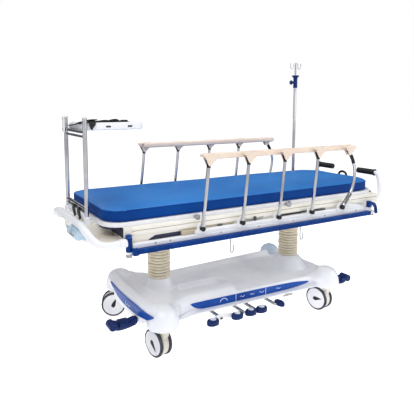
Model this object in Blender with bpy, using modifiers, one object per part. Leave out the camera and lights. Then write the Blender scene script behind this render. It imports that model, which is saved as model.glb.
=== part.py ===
"""Wheeled patient stretcher: base on four twin castors, two lifting columns,
hinged deck with mattress, folding side guards, monitor shelf and drip pole.

Metres, +Z up, +X towards the head end, floor at Z = 0.
"""
import math

import bmesh
import bpy
from mathutils import Vector

for leftover in list(bpy.data.objects):
    bpy.data.objects.remove(leftover, do_unlink=True)

GAP = 0.0003                      # air between touching pieces
SIDES = {"near": -1.0, "far": 1.0}

# castors
WHEEL_R = 0.075
WHEEL_HALF = 0.038
TRAIL = 0.040
STEM_X = {"foot": -0.626, "head": 0.530}
STEM_Y = 0.300
SWIVEL_DEG = {"foot_near": 101.0, "foot_far": 157.0, "head_near": 100.0, "head_far": 12.0}

# base
BASE_X = (-0.700, 0.620)
COVER_SIDE = ((-0.700, 0.235), (-0.680, 0.280), (-0.640, 0.305), (-0.560, 0.302), (-0.500, 0.272),
              (-0.440, 0.250), (0.418, 0.285), (0.500, 0.292), (0.570, 0.285), (0.605, 0.255),
              (0.620, 0.205))
COVER_LEVELS = ((0.1805, -0.034), (0.1840, -0.037), (0.1872, -0.030), (0.1880, 0.0), (0.232, 0.0), (0.240, 0.008), (0.243, 0.018), (0.236, 0.028),
                (0.208, 0.040))
WALL_SLOPE = (0.285 - 0.250) / (0.418 + 0.440)
WALL_AT_0 = 0.250 + 0.440 * WALL_SLOPE
PLATFORM = ((-0.700, -0.235), (-0.680, -0.280), (-0.640, -0.300), (-0.560, -0.297), (-0.500, -0.262),
            (-0.440, -0.238), (-0.125, -0.248), (-0.095, -0.215), (-0.090, -0.075), (-0.120, -0.035),
            (-0.300, -0.030), (-0.385, 0.0), (-0.385, 0.090), (-0.440, 0.150), (-0.500, 0.262),
            (-0.560, 0.297), (-0.640, 0.300), (-0.680, 0.280), (-0.700, 0.235))
PLATFORM_LEVELS = ((0.190, 0.0), (0.250, 0.0), (0.260, 0.005), (0.264, 0.014))
DOME_Z0 = 0.158

# columns
COLUMN_X = {"foot": -0.499, "head": 0.481}
RAM_R = 0.030
BELLOWS_Z = (0.3205, 0.6045)
PLEATS = 8

# bed
FRAME_Z = (0.640, 0.7317)
DECK_Z = (0.732, 0.7537)
MATTRESS_Z = (0.754, 0.814)
BED_X = (-0.930, 0.970)
BED_HALF_Y = 0.3275
HINGE_X, HINGE_Z = 0.184, 0.754
FOLD_X = (0.100, 0.260)
FOOT_CORNER_R = 0.100
HEAD_CORNER_R = 0.150

# side guards
POST_X = (-0.443, -0.193, 0.057, 0.307, 0.557)
POST_Y = 0.392
POST_Z = 0.690
POST_R = 0.009
POST_PATH = ((0.0, -0.010), (0.0, 0.020), (0.012, 0.110), (0.033, 0.300), (0.034, 0.325), (0.022, 0.352))
LAST_POST_PATH = ((0.0, -0.010), (0.010, 0.012), (0.058, 0.068), (0.080, 0.110), (0.098, 0.180),
                  (0.096, 0.225), (0.075, 0.275), (0.022, 0.352))
RAIL_TOP = (0.022, 0.352)
RAIL_X = (-0.420, 0.640)
RAIL_Y = (0.350, 0.380)
RAIL_Z = (1.034, 1.068)

# foot end
SHELF_X = -0.972
TRAY_PIVOT = (-0.957, 0.0, 1.182)
ROLLER_AT = (-0.972, 0.405, 0.692)

# drip pole
POLE_AT = (0.840, 0.362)
POLE_R = 0.011
ROD_R = 0.007
BORE_R = 0.0078

# head end
HANDLE_Y = 0.280
HANDLE_Z = 0.667
LOOP_PIVOT = (0.955, 0.0, 0.722)

# pedals on shafts that cross the base
SHAFT_Z = 0.172
SHAFT_R = 0.006
SHAFT_HALF = 0.378
SHAFT_LONG = 0.420
PAD_Y = 0.402
PAD_R = 0.025

root = bpy.context.scene.collection
parts = bpy.data.collections.new("stretcher_trolley")
cutters = bpy.data.collections.new("cutters")
root.children.link(parts)
root.children.link(cutters)


def material(name, colour, roughness, metallic=0.0):
    """A plain finish for one group of pieces."""
    mat = bpy.data.materials.new(name)
    mat.use_nodes = True
    shader = mat.node_tree.nodes["Principled BSDF"]
    shader.inputs["Base Color"].default_value = (*colour, 1.0)
    shader.inputs["Roughness"].default_value = roughness
    shader.inputs["Metallic"].default_value = metallic
    mat.diffuse_color = (*colour, 1.0)
    return mat


MATS = {
    "cover_white": material("cover_white", (0.78, 0.78, 0.84), 0.35),
    "column_paint": material("column_paint", (0.80, 0.80, 0.82), 0.4),
    "bellows_beige": material("bellows_beige", (0.66, 0.58, 0.45), 0.7),
    "ram_steel": material("ram_steel", (0.55, 0.56, 0.58), 0.25, 1.0),
    "castor_white": material("castor_white", (0.80, 0.80, 0.82), 0.4),
    "tread_grey": material("tread_grey", (0.16, 0.16, 0.18), 0.6),
    "lens_blue": material("lens_blue", (0.05, 0.22, 0.62), 0.2),
    "pedal_navy": material("pedal_navy", (0.04, 0.08, 0.30), 0.4),
    "frame_cream": material("frame_cream", (0.78, 0.77, 0.72), 0.45),
    "deck_white": material("deck_white", (0.82, 0.82, 0.82), 0.4),
    "mattress_blue": material("mattress_blue", (0.06, 0.20, 0.60), 0.5),
    "post_chrome": material("post_chrome", (0.78, 0.78, 0.80), 0.12, 1.0),
    "rail_cream": material("rail_cream", (0.80, 0.70, 0.58), 0.4),
    "bumper_blue": material("bumper_blue", (0.04, 0.22, 0.66), 0.45),
    "tube_white": material("tube_white", (0.82, 0.82, 0.84), 0.35),
    "roller_grey": material("roller_grey", (0.45, 0.45, 0.47), 0.6),
    "block_blue": material("block_blue", (0.42, 0.62, 0.85), 0.3),
    "tray_white": material("tray_white", (0.82, 0.82, 0.84), 0.4),
    "clamp_navy": material("clamp_navy", (0.04, 0.07, 0.32), 0.4),
    "loop_black": material("loop_black", (0.03, 0.03, 0.03), 0.5),
}


def pivot(name, at, parent=None, turn_z=0.0):
    """An empty on a joint's axis. Pieces that move together hang from one."""
    empty = bpy.data.objects.new(name, None)
    empty.empty_display_size = 0.05
    parts.objects.link(empty)
    offset = Vector(at)
    if parent is not None:
        empty.parent = parent
        offset -= world_of(parent)
    empty.location = offset
    empty.rotation_euler[2] = math.radians(turn_z)
    return empty


def world_of(obj):
    """Where an unturned chain of empties puts an object."""
    total = Vector(obj.location)
    while obj.parent is not None:
        obj = obj.parent
        total += Vector(obj.location)
    return total


def place(obj, mat, at=(0.0, 0.0, 0.0), parent=None, turn=(0.0, 0.0, 0.0), smooth=False):
    """Give an object its finish and put it at a world position under its empty."""
    parts.objects.link(obj)
    obj.data.materials.append(MATS[mat])
    offset = Vector(at)
    if parent is not None:
        obj.parent = parent
        offset -= world_of(parent)
    obj.location = offset
    obj.rotation_euler = [math.radians(a) for a in turn]
    if smooth and obj.type == "MESH":
        obj.data.polygons.foreach_set("use_smooth", [True] * len(obj.data.polygons))
    return obj


def new_mesh(name, bm):
    mesh = bpy.data.meshes.new(name)
    bm.to_mesh(mesh)
    bm.free()
    return bpy.data.objects.new(name, mesh)


def block(name, size, bevel=0.0, segments=2):
    """A box of full size about its own centre, with softened edges."""
    bm = bmesh.new()
    bmesh.ops.create_cube(bm, size=1.0)
    bmesh.ops.scale(bm, vec=size, verts=bm.verts)
    obj = new_mesh(name, bm)
    if bevel:
        mod = obj.modifiers.new("soft_edges", "BEVEL")
        mod.width = bevel
        mod.segments = segments
        mod.limit_method = "ANGLE"
    return obj


def span_block(name, xs, ys, zs, bevel=0.0):
    """A box from its limits, returned with the centre it belongs at."""
    size = (xs[1] - xs[0], ys[1] - ys[0], zs[1] - zs[0])
    at = ((xs[0] + xs[1]) / 2, (ys[0] + ys[1]) / 2, (zs[0] + zs[1]) / 2)
    return block(name, size, bevel), at


def rod(name, radius, length, sides=16):
    """A plain cylinder along its own Z, about its centre."""
    bm = bmesh.new()
    bmesh.ops.create_cone(bm, cap_ends=True, segments=sides,
                          radius1=radius, radius2=radius, depth=length)
    return new_mesh(name, bm)


def lathe(name, profile, steps=24, ring=False):
    """Turn a profile of (radius, z) about Z. It runs top to bottom outside."""
    mesh = bpy.data.meshes.new(name)
    count = len(profile)
    edges = [(n, n + 1) for n in range(count - 1)]
    if ring:
        edges.append((count - 1, 0))
    mesh.from_pydata([(r, 0.0, z) for r, z in profile], edges, [])
    obj = bpy.data.objects.new(name, mesh)
    mod = obj.modifiers.new("turn", "SCREW")
    mod.axis = "Z"
    mod.angle = math.tau
    mod.steps = mod.render_steps = steps
    mod.use_merge_vertices = True
    mod.merge_threshold = 0.0001
    mod.use_smooth_shade = True
    return obj


def arc(centre, radius, start, end, steps):
    """Points along an arc, angles in degrees."""
    span = [math.radians(start + (end - start) * n / steps) for n in range(steps + 1)]
    return [(centre[0] + radius * math.cos(a), centre[1] + radius * math.sin(a)) for a in span]


def round_rect(x0, x1, half_y, left_r, right_r, steps=5):
    """A plan outline with its own corner radius at each end."""
    points = []
    for cx, cy, r, start in ((x1 - right_r, half_y - right_r, right_r, 0),
                             (x0 + left_r, half_y - left_r, left_r, 90),
                             (x0 + left_r, -half_y + left_r, left_r, 180),
                             (x1 - right_r, -half_y + right_r, right_r, 270)):
        points += arc((cx, cy), r, start, start + 90, steps) if r > 0.001 else [(cx, cy)]
    return points


def sheet(name, loops, thickness):
    """A flat outline, with any holes, given thickness both ways along its own Z."""
    curve = bpy.data.curves.new(name, "CURVE")
    curve.dimensions = "2D"
    curve.fill_mode = "BOTH"
    curve.extrude = thickness / 2
    for loop in loops:
        spline = curve.splines.new("POLY")
        spline.points.add(len(loop) - 1)
        spline.use_cyclic_u = True
        for point, (x, y) in zip(spline.points, loop):
            point.co = (x, y, 0.0, 1.0)
    return bpy.data.objects.new(name, curve)


def box_loop(x0, x1, y0, y1):
    return [(x0, y0), (x1, y0), (x1, y1), (x0, y1)]


def tube(name, path, radius, roundness=2):
    """A bent round bar with closed ends."""
    curve = bpy.data.curves.new(name, "CURVE")
    curve.dimensions = "3D"
    curve.bevel_depth = radius
    curve.bevel_resolution = roundness
    curve.use_fill_caps = True
    spline = curve.splines.new("POLY")
    spline.points.add(len(path) - 1)
    for point, co in zip(spline.points, path):
        point.co = (*co, 1.0)
    return bpy.data.objects.new(name, curve)


def as_mesh(obj):
    """Turn a curve object into a sealed mesh object of the same name."""
    root.objects.link(obj)
    bpy.context.view_layer.update()
    evaluated = obj.evaluated_get(bpy.context.evaluated_depsgraph_get())
    mesh = bpy.data.meshes.new_from_object(evaluated)
    name = obj.name
    bpy.data.objects.remove(obj, do_unlink=True)
    bm = bmesh.new()
    bm.from_mesh(mesh)
    bmesh.ops.remove_doubles(bm, verts=bm.verts, dist=0.00005)
    bmesh.ops.recalc_face_normals(bm, faces=bm.faces)
    bm.to_mesh(mesh)
    bm.free()
    mesh.name = name
    return bpy.data.objects.new(name, mesh)


def combine(target, helper, at, operation="UNION", turn=(0.0, 0.0, 0.0)):
    """Weld a helper solid to a piece, or cut it away. `at` is in the piece's own axes."""
    cutters.objects.link(helper)
    helper.parent = target
    helper.location = at
    helper.rotation_euler = [math.radians(a) for a in turn]
    helper.hide_render = True
    helper.display_type = "WIRE"
    mod = target.modifiers.new(helper.name, "BOOLEAN")
    mod.operation = operation
    mod.solver = "EXACT"
    mod.object = helper


def loft(name, loops):
    """A solid lofted through plan outlines, each given as (z, points)."""
    bm = bmesh.new()
    rings = [[bm.verts.new((x, y, z)) for x, y in loop] for z, loop in loops]
    for low, high in zip(rings, rings[1:]):
        for n in range(len(low)):
            m = (n + 1) % len(low)
            bm.faces.new((low[n], low[m], high[m], high[n]))
    bm.faces.new(rings[-1])
    bm.faces.new(list(reversed(rings[0])))
    bmesh.ops.recalc_face_normals(bm, faces=bm.faces)
    return new_mesh(name, bm)


def cover_loop(inset):
    """Plan of the cover: waisted sides, drawn in by an inset."""
    side = [(x + inset * x / BASE_X[0] if x < 0 else x - 0.4 * inset * x / BASE_X[1], y - inset)
            for x, y in COVER_SIDE]
    return [(x, -y) for x, y in side] + list(reversed(side))


def platform_loop(inset):
    """Plan of the raised foot platform, drawn towards its middle by an inset."""
    cx, cy = -0.45, -0.03
    return [(x - math.copysign(min(inset, abs(x - cx)), x - cx), y - math.copysign(min(inset, abs(y - cy)), y - cy))
            for x, y in PLATFORM]


# ------------------------------------------------------------------ base
base = pivot("base_axis", (0.0, 0.0, 0.0))
cover = place(loft("base_cover", [(z, cover_loop(inset)) for z, inset in COVER_LEVELS]), "cover_white",
              parent=base)
combine(cover, loft("platform", [(z, platform_loop(inset)) for z, inset in PLATFORM_LEVELS]), (0.0, 0.0, 0.0))
combine(cover, block("pocket", (0.290, 0.086, 0.080), 0.030, 3), (-0.275, -0.120, 0.266), "DIFFERENCE")
DOME = ((0.0, 0.292), (0.030, 0.289), (0.056, 0.276), (0.074, 0.252), (0.083, 0.215),
        (0.087, DOME_Z0), (0.0, DOME_Z0))
for end, x in STEM_X.items():
    for side, s in SIDES.items():
        combine(cover, lathe(f"dome_{end}_{side}", DOME), (x, s * STEM_Y, 0.0))
combine(cover, block("apron", (0.046, 0.380, 0.060)), (-0.672, 0.0, 0.178))
for end, x in COLUMN_X.items():
    combine(cover, rod(f"column_hole_{end}", 0.0455, 0.30, 24), (x, 0.0, 0.20), "DIFFERENCE")

COLUMN_SKIRT = {"foot": ((0.068, 0.320), (0.071, 0.303), (0.079, 0.282), (0.083, 0.2643)),
                "head": ((0.068, 0.320), (0.082, 0.304), (0.100, 0.270), (0.112, 0.236), (0.118, 0.2083))}
RAM = ((0.0, 0.628), (0.058, 0.628), (0.058, 0.605), (RAM_R, 0.605), (RAM_R, 0.361), (0.0, 0.361))


def bellows(name):
    """Pleated sleeve round a column."""
    low, high = BELLOWS_Z
    step = (high - low) / PLEATS
    outer = [(0.057, high)]
    for n in range(PLEATS):
        top = high - n * step
        outer += [(0.0635, top - step / 2), (0.057, top - step)]
    return lathe(name, outer + [(0.047, low), (0.047, high)], 24, ring=True)


lift = pivot("lift_axis", (COLUMN_X["foot"], 0.0, 0.0), base)
head_lift = pivot("head_lift_axis", (COLUMN_X["head"], 0.0, 0.0), lift)
for end, carrier in (("foot", lift), ("head", head_lift)):
    at = (COLUMN_X[end], 0.0, 0.0)
    skirt = COLUMN_SKIRT[end]
    outline = (((0.045, 0.410), (0.045, 0.320)) + skirt
               + ((0.045, skirt[-1][1]), (0.045, 0.190), (0.0308, 0.190), (0.0308, 0.410)))
    place(lathe(f"column_{end}", outline, ring=True), "column_paint", at, base)
    place(bellows(f"bellows_{end}"), "bellows_beige", at, base)
    place(lathe(f"ram_{end}", RAM), "ram_steel", at, carrier)

# lens strips let into the cover's skirt
STRIP = ([(-0.403, 0.1885), (0.290, 0.1885), (0.400, 0.207), (0.375, 0.219), (0.285, 0.2315)]
         + [(-0.403, 0.2315)] + arc((-0.403, 0.210), 0.0215, 100, 260, 6)[1:-1])
for side, s in SIDES.items():
    place(sheet(f"lens_{side}", [STRIP], 0.004), "lens_blue",
          (0.0, s * (WALL_AT_0 + GAP + 0.002), 0.0), base,
          (90, 0, s * math.degrees(math.atan(WALL_SLOPE))))
FOOT_STRIP = [(-0.200, 0.236), (-0.185, 0.210), (0.0, 0.202), (0.185, 0.210),
              (0.200, 0.236), (0.185, 0.252), (0.0, 0.258), (-0.185, 0.252)]
place(sheet("lens_foot", [FOOT_STRIP], 0.004), "lens_blue",
      (BASE_X[0] - GAP - 0.002, 0.0, 0.0), base, (90, 0, 90))

# ------------------------------------------------------------------ castors
SLOT = arc((TRAIL, 0.075), 0.0066, 0, 180, 6)
FORK = ([(-0.028, 0.1577), (-0.028, 0.135), (-0.010, 0.100), (0.014, 0.052), (TRAIL - 0.0066, 0.052)]
        + list(reversed(SLOT)) + [(TRAIL + 0.0066, 0.052), (0.066, 0.056), (0.066, 0.120),
                                  (0.036, 0.1577)])
WHEEL = ((0.0, WHEEL_HALF), (0.058, WHEEL_HALF), (0.071, 0.034), (WHEEL_R, 0.028), (WHEEL_R, 0.019),
         (0.070, 0.0125), (0.006, 0.0125), (0.006, -0.0125), (0.070, -0.0125), (WHEEL_R, -0.019),
         (WHEEL_R, -0.028), (0.071, -0.034), (0.058, -WHEEL_HALF), (0.0, -WHEEL_HALF))
for end, x in STEM_X.items():
    for side, s in SIDES.items():
        key = f"{end}_{side}"
        swivel = pivot(f"swivel_{key}", (x, s * STEM_Y, 0.0), base, SWIVEL_DEG[key])
        fork = place(sheet(f"castor_fork_{key}", [FORK], 0.020), "castor_white", turn=(90, 0, 0))
        fork.parent = swivel
        axle = bpy.data.objects.new(f"axle_{key}", None)
        axle.empty_display_size = 0.03
        parts.objects.link(axle)
        axle.parent = swivel
        axle.location = (TRAIL, 0.0, WHEEL_R)
        wheel = place(lathe(f"castor_wheel_{key}", WHEEL), "tread_grey", turn=(90, 0, 0))
        wheel.parent = axle

# ------------------------------------------------------------------ pedals
PEDALS = {"tilt": (-0.313, ((-0.070, PAD_R), (0.086, PAD_R))),
          "pump": (-0.164, ((0.028, PAD_R),)),
          "lower": (-0.087, ((0.025, PAD_R),)),
          "steer": (0.057, ((0.022, PAD_R),))}
for name, (x, pads) in PEDALS.items():
    axis = pivot(f"{name}_pedal_axis", (x, 0.0, SHAFT_Z), base)
    shaft = place(rod(f"pedal_{name}", SHAFT_R, SHAFT_LONG, 12), "pedal_navy",
                  (x, -SHAFT_HALF + SHAFT_LONG / 2, SHAFT_Z), axis, (90, 0, 0))
    reach = [dx for dx, _ in pads] + [0.0]
    low, high = min(reach) - 0.008, max(reach) + 0.008
    # in the shaft's own axes X stays X, Y runs up and Z runs out to the near side
    combine(shaft, block(f"{name}_crank", (high - low, 0.014, 0.024)),
            ((low + high) / 2, 0.0, SHAFT_LONG / 2 - 0.012))
    for n, (dx, r) in enumerate(pads):
        combine(shaft, rod(f"{name}_pad_{n}", r, 0.022, 20),
                (dx, 0.010, SHAFT_LONG / 2 + PAD_Y - SHAFT_HALF), turn=(90, 0, 0))

LEVER = [(0.0, -0.007), (0.060, -0.016), (0.110, -0.012), (0.150, 0.004), (0.152, 0.014),
         (0.108, 0.002), (0.060, 0.000), (0.0, 0.007), (-0.012, 0.004), (-0.012, -0.004)]
for end, x, y, way in (("foot", -0.725, -0.155, -1), ("head", 0.662, -0.270, 1)):
    axis = pivot(f"brake_{end}_axis", (x, y, 0.168), base)
    outline = [(way * px, pz) for px, pz in LEVER]
    place(sheet(f"brake_pedal_{end}", [outline], 0.062), "pedal_navy", (x, y, 0.168), axis, (90, 0, 0))

# ------------------------------------------------------------------ bed frame and deck
tilt = pivot("tilt_axis", (COLUMN_X["foot"], 0.0, 0.650), lift)
outer = [(-0.85, -0.345), (0.93, -0.345), (0.93, 0.345), (-0.85, 0.345), (-0.85, 0.185),
         (-0.99, 0.185), (-0.99, 0.150), (-0.85, 0.150), (-0.85, -0.150), (-0.99, -0.150),
         (-0.99, -0.185), (-0.85, -0.185)]
BAYS = ((-0.80, -0.54), (-0.45, 0.14), (0.23, 0.43), (0.53, 0.88))
holes = [box_loop(a, b, -0.305, 0.305) for a, b in BAYS]
place(sheet("bed_frame", [outer] + holes, FRAME_Z[1] - FRAME_Z[0]), "frame_cream",
      (0.0, 0.0, sum(FRAME_Z) / 2), tilt)

back = pivot("backrest_axis", (HINGE_X, 0.0, HINGE_Z), tilt)
PADS = (("seat", BED_X[0], FOLD_X[0] - GAP, FOOT_CORNER_R, 0.0, tilt),
        ("fold", FOLD_X[0], FOLD_X[1] - GAP, 0.0, 0.0, tilt),
        ("back", FOLD_X[1], BED_X[1], 0.0, HEAD_CORNER_R, back))
for name, x0, x1, left_r, right_r, parent in PADS:
    place(sheet(f"mattress_{name}", [round_rect(x0, x1, BED_HALF_Y, left_r, right_r)],
                MATTRESS_Z[1] - MATTRESS_Z[0]), "mattress_blue",
          (0.0, 0.0, sum(MATTRESS_Z) / 2), parent)
DECKS = (("seat", BED_X[0], HINGE_X - 0.003, FOOT_CORNER_R, 0.0, tilt),
         ("back", HINGE_X + 0.003, BED_X[1], 0.0, HEAD_CORNER_R, back))
for name, x0, x1, left_r, right_r, parent in DECKS:
    place(sheet(f"deck_{name}", [round_rect(x0, x1, BED_HALF_Y, left_r, right_r)],
                DECK_Z[1] - DECK_Z[0]), "deck_white", (0.0, 0.0, sum(DECK_Z) / 2), parent)

# ------------------------------------------------------------------ sides of the bed
PANEL = [(-0.82, 0.606), (0.79, 0.606), (0.79, 0.660), (0.61, 0.660), (0.61, 0.712),
         (-0.47, 0.712), (-0.47, 0.660), (-0.82, 0.660)]
for side, s in SIDES.items():
    place(sheet(f"side_panel_{side}", [PANEL], 0.0294), "frame_cream", (0.0, s * 0.360, 0.0),
          tilt, (90, 0, 0))
    bumper = [(-0.80, 0.391), (0.80, 0.391), (0.845, 0.386), (0.872, 0.366), (0.884, 0.330)]
    place(tube(f"bumper_{side}", [(x, s * y, 0.0) for x, y in bumper], 0.016), "bumper_blue",
          (0.0, 0.0, 0.621), tilt)
    place(rod(f"corner_post_{side}", 0.013, 0.094, 20), "tube_white",
          (-0.8335, s * 0.3625, 0.647), tilt)
    first = None
    for n, x in enumerate(POST_X):
        axis = pivot(f"post_{side}_{n + 1}_axis", (x, s * POST_Y, POST_Z), tilt)
        first = first or axis
        shape = LAST_POST_PATH if n == len(POST_X) - 1 else POST_PATH
        place(tube(f"guard_post_{side}_{n + 1}", [(px, 0.0, pz) for px, pz in shape], POST_R),
              "post_chrome", (x, s * POST_Y, POST_Z), axis)
    top = (POST_X[0] + RAIL_TOP[0], s * POST_Y, POST_Z + RAIL_TOP[1])
    axis = pivot(f"handrail_{side}_axis", top, first)
    rail, at = span_block(f"handrail_{side}", RAIL_X, sorted((s * RAIL_Y[0], s * RAIL_Y[1])),
                          RAIL_Z, 0.010)
    place(rail, "rail_cream", at, axis)

# ------------------------------------------------------------------ foot end
FOOT_BAR = ((-0.8470, 0.3665, 0.684), (-0.945, 0.3665, 0.684), (-0.975, 0.352, 0.692),
            (-0.996, 0.322, 0.708), (-1.008, 0.275, 0.730), (-1.012, 0.220, 0.743),
            (-1.012, 0.190, 0.745))
bar = [(x, -y, z) for x, y, z in FOOT_BAR] + [(x, y, z) for x, y, z in reversed(FOOT_BAR)]
place(tube("foot_bar", bar, 0.018), "tube_white", parent=tilt)
roller_axis = pivot("roller_axis", ROLLER_AT, tilt)
ROLLER = ((0.0, 0.020), (0.018, 0.020), (0.022, 0.015), (0.022, -0.015), (0.018, -0.020), (0.0, -0.020))
place(lathe("corner_roller", ROLLER, 20), "roller_grey", ROLLER_AT, roller_axis)
step, at = span_block("foot_block", (-1.050, -0.9905), (-0.285, -0.080), (0.640, 0.695), 0.008)
place(step, "block_blue", at, tilt)

shelf = pivot("shelf_axis", (SHELF_X, 0.0, 0.7323), tilt)
shelf_loop = [(-0.178, 0.7323), (-0.156, 0.7323), (-0.156, 0.776), (0.156, 0.776), (0.156, 0.7323),
              (0.178, 0.7323), (0.178, 1.250), (0.156, 1.250), (0.156, 1.190), (-0.156, 1.190),
              (-0.156, 1.250), (-0.178, 1.250)]
gaps = [box_loop(-0.156, 0.156, low, high)
        for low, high in ((0.788, 0.793), (0.811, 1.150), (1.164, 1.170))]
place(sheet("monitor_frame", [shelf_loop] + gaps, 0.022), "post_chrome", (SHELF_X, 0.0, 0.0),
      shelf, (90, 0, 90))
fold = pivot("tray_axis", TRAY_PIVOT, shelf)
tray, at = span_block("monitor_tray", (-0.955, -0.650), (-0.150, 0.150), (1.184, 1.224), 0.008)
place(tray, "tray_white", at, fold)

# ------------------------------------------------------------------ drip pole
px, py = POLE_AT
POLE = ((POLE_R, 1.447), (POLE_R, 0.640), (BORE_R, 0.640), (BORE_R, 1.447))
place(lathe("iv_pole", POLE, 20, ring=True), "post_chrome", (px, py, 0.0), tilt)
CLAMP = ((0.026, 1.528), (0.026, 1.518), (0.019, 1.512), (0.019, 1.4475), (BORE_R, 1.4475), (BORE_R, 1.528))
place(lathe("iv_clamp", CLAMP, 20, ring=True), "clamp_navy", (px, py, 0.0), tilt)
KNOB = ((0.0, 0.014), (0.010, 0.014), (0.015, 0.009), (0.015, -0.004), (0.007, -0.008),
        (0.007, -0.014), (0.0, -0.014))
knob_at = (px - 0.019 - GAP - 0.014, py, 1.474)
knob_axis = pivot("knob_axis", knob_at, tilt)
place(lathe("iv_knob", KNOB, 16), "clamp_navy", knob_at, knob_axis, (0, -90, 0))
slide = pivot("iv_slide_axis", (px, py, 1.0), tilt)
rod_piece = place(rod("iv_rod", ROD_R, 0.616, 16), "post_chrome", (px, py, 1.308), slide)
HOOK = ((0.050, 0.030), (0.050, 0.000), (0.042, -0.010), (0.030, -0.010), (0.022, 0.000),
        (0.022, 0.020), (0.012, 0.028))
hooks = [(-x, 0.0, z) for x, z in HOOK] + [(x, 0.0, z) for x, z in reversed(HOOK)]
combine(rod_piece, as_mesh(tube("iv_hooks", hooks, 0.003, 1)), (0.0, 0.0, 0.280))

# ------------------------------------------------------------------ head end
HANDLE = ((0.9305, 0.0, 0.0), (1.012, 0.0, 0.0), (1.030, 0.0, 0.010), (1.037, 0.0, 0.030),
          (1.037, 0.0, 0.075), (1.018, 0.0, 0.150), (1.011, -0.006, 0.176), (1.010, -0.022, 0.185),
          (1.010, -0.160, 0.185))
for side, s in SIDES.items():
    at = (0.0, s * HANDLE_Y, HANDLE_Z)
    axis = pivot(f"push_handle_{side}_axis", at, tilt)
    place(tube(f"push_handle_{side}", [(x, s * y, z) for x, y, z in HANDLE], 0.013),
          "tube_white", at, axis)
loop_axis = pivot("release_axis", LOOP_PIVOT, back)
HALF_LOOP = ((0.945, 0.050, 0.722), (0.976, 0.050, 0.722), (0.984, 0.050, 0.730),
             (0.985, 0.050, 0.795), (0.985, 0.042, 0.815), (0.985, 0.022, 0.828))
loop = [(x, -y, z) for x, y, z in HALF_LOOP] + [(x, y, z) for x, y, z in reversed(HALF_LOOP)]
lx, ly, lz = LOOP_PIVOT
place(tube("release_loop", [(x - lx, y - ly, z - lz) for x, y, z in loop], 0.008),
      "loop_black", LOOP_PIVOT, loop_axis)
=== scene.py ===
"""Looks for the wheeled patient stretcher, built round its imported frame."""
import math

import bmesh
import bpy
from mathutils import Matrix, Vector
from mathutils.bvhtree import BVHTree


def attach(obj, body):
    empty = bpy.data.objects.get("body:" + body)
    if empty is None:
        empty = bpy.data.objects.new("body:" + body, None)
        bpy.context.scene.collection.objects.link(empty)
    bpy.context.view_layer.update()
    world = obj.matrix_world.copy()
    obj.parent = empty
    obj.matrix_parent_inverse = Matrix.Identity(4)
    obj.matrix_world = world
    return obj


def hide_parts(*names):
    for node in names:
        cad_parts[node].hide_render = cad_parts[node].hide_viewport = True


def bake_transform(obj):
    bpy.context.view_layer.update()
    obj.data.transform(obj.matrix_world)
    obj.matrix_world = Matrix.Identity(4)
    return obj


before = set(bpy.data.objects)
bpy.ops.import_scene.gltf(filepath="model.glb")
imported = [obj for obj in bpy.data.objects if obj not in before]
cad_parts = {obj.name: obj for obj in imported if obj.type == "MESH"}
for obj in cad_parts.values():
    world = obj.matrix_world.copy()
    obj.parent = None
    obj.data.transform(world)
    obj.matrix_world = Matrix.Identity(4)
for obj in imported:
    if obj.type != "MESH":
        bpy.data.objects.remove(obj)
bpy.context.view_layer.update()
scene = bpy.context.scene
SIDES = {"near": -1.0, "far": 1.0}

# ---- camera
cam_data = bpy.data.cameras.new("camera")
cam_data.lens = 40.84
cam_data.sensor_width = 36.0
cam_data.shift_x = 0.0475
cam_data.shift_y = -0.0972
cam_data.clip_end = 50.0
camera = bpy.data.objects.new("camera", cam_data)
camera.location = (-1.6593, -2.372, 1.3178)
camera.rotation_euler = (math.radians(90 - 6.8477), 0.0, math.radians(-29.6385))
scene.collection.objects.link(camera)
scene.camera = camera


# ---- materials
def rgb(code):
    """A screen colour, given as six hex digits, in linear light. Any other value stays as it is."""
    if not isinstance(code, str):
        return code
    out = []
    for k in (0, 2, 4):
        v = int(code[k:k + 2], 16) / 255.0
        out.append(v / 12.92 if v <= 0.04045 else ((v + 0.055) / 1.055) ** 2.4)
    return *out, 1.0


def grey(v):
    return v, v, v, 1.0


BLACK, WHITE = grey(0.0), grey(1.0)


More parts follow.
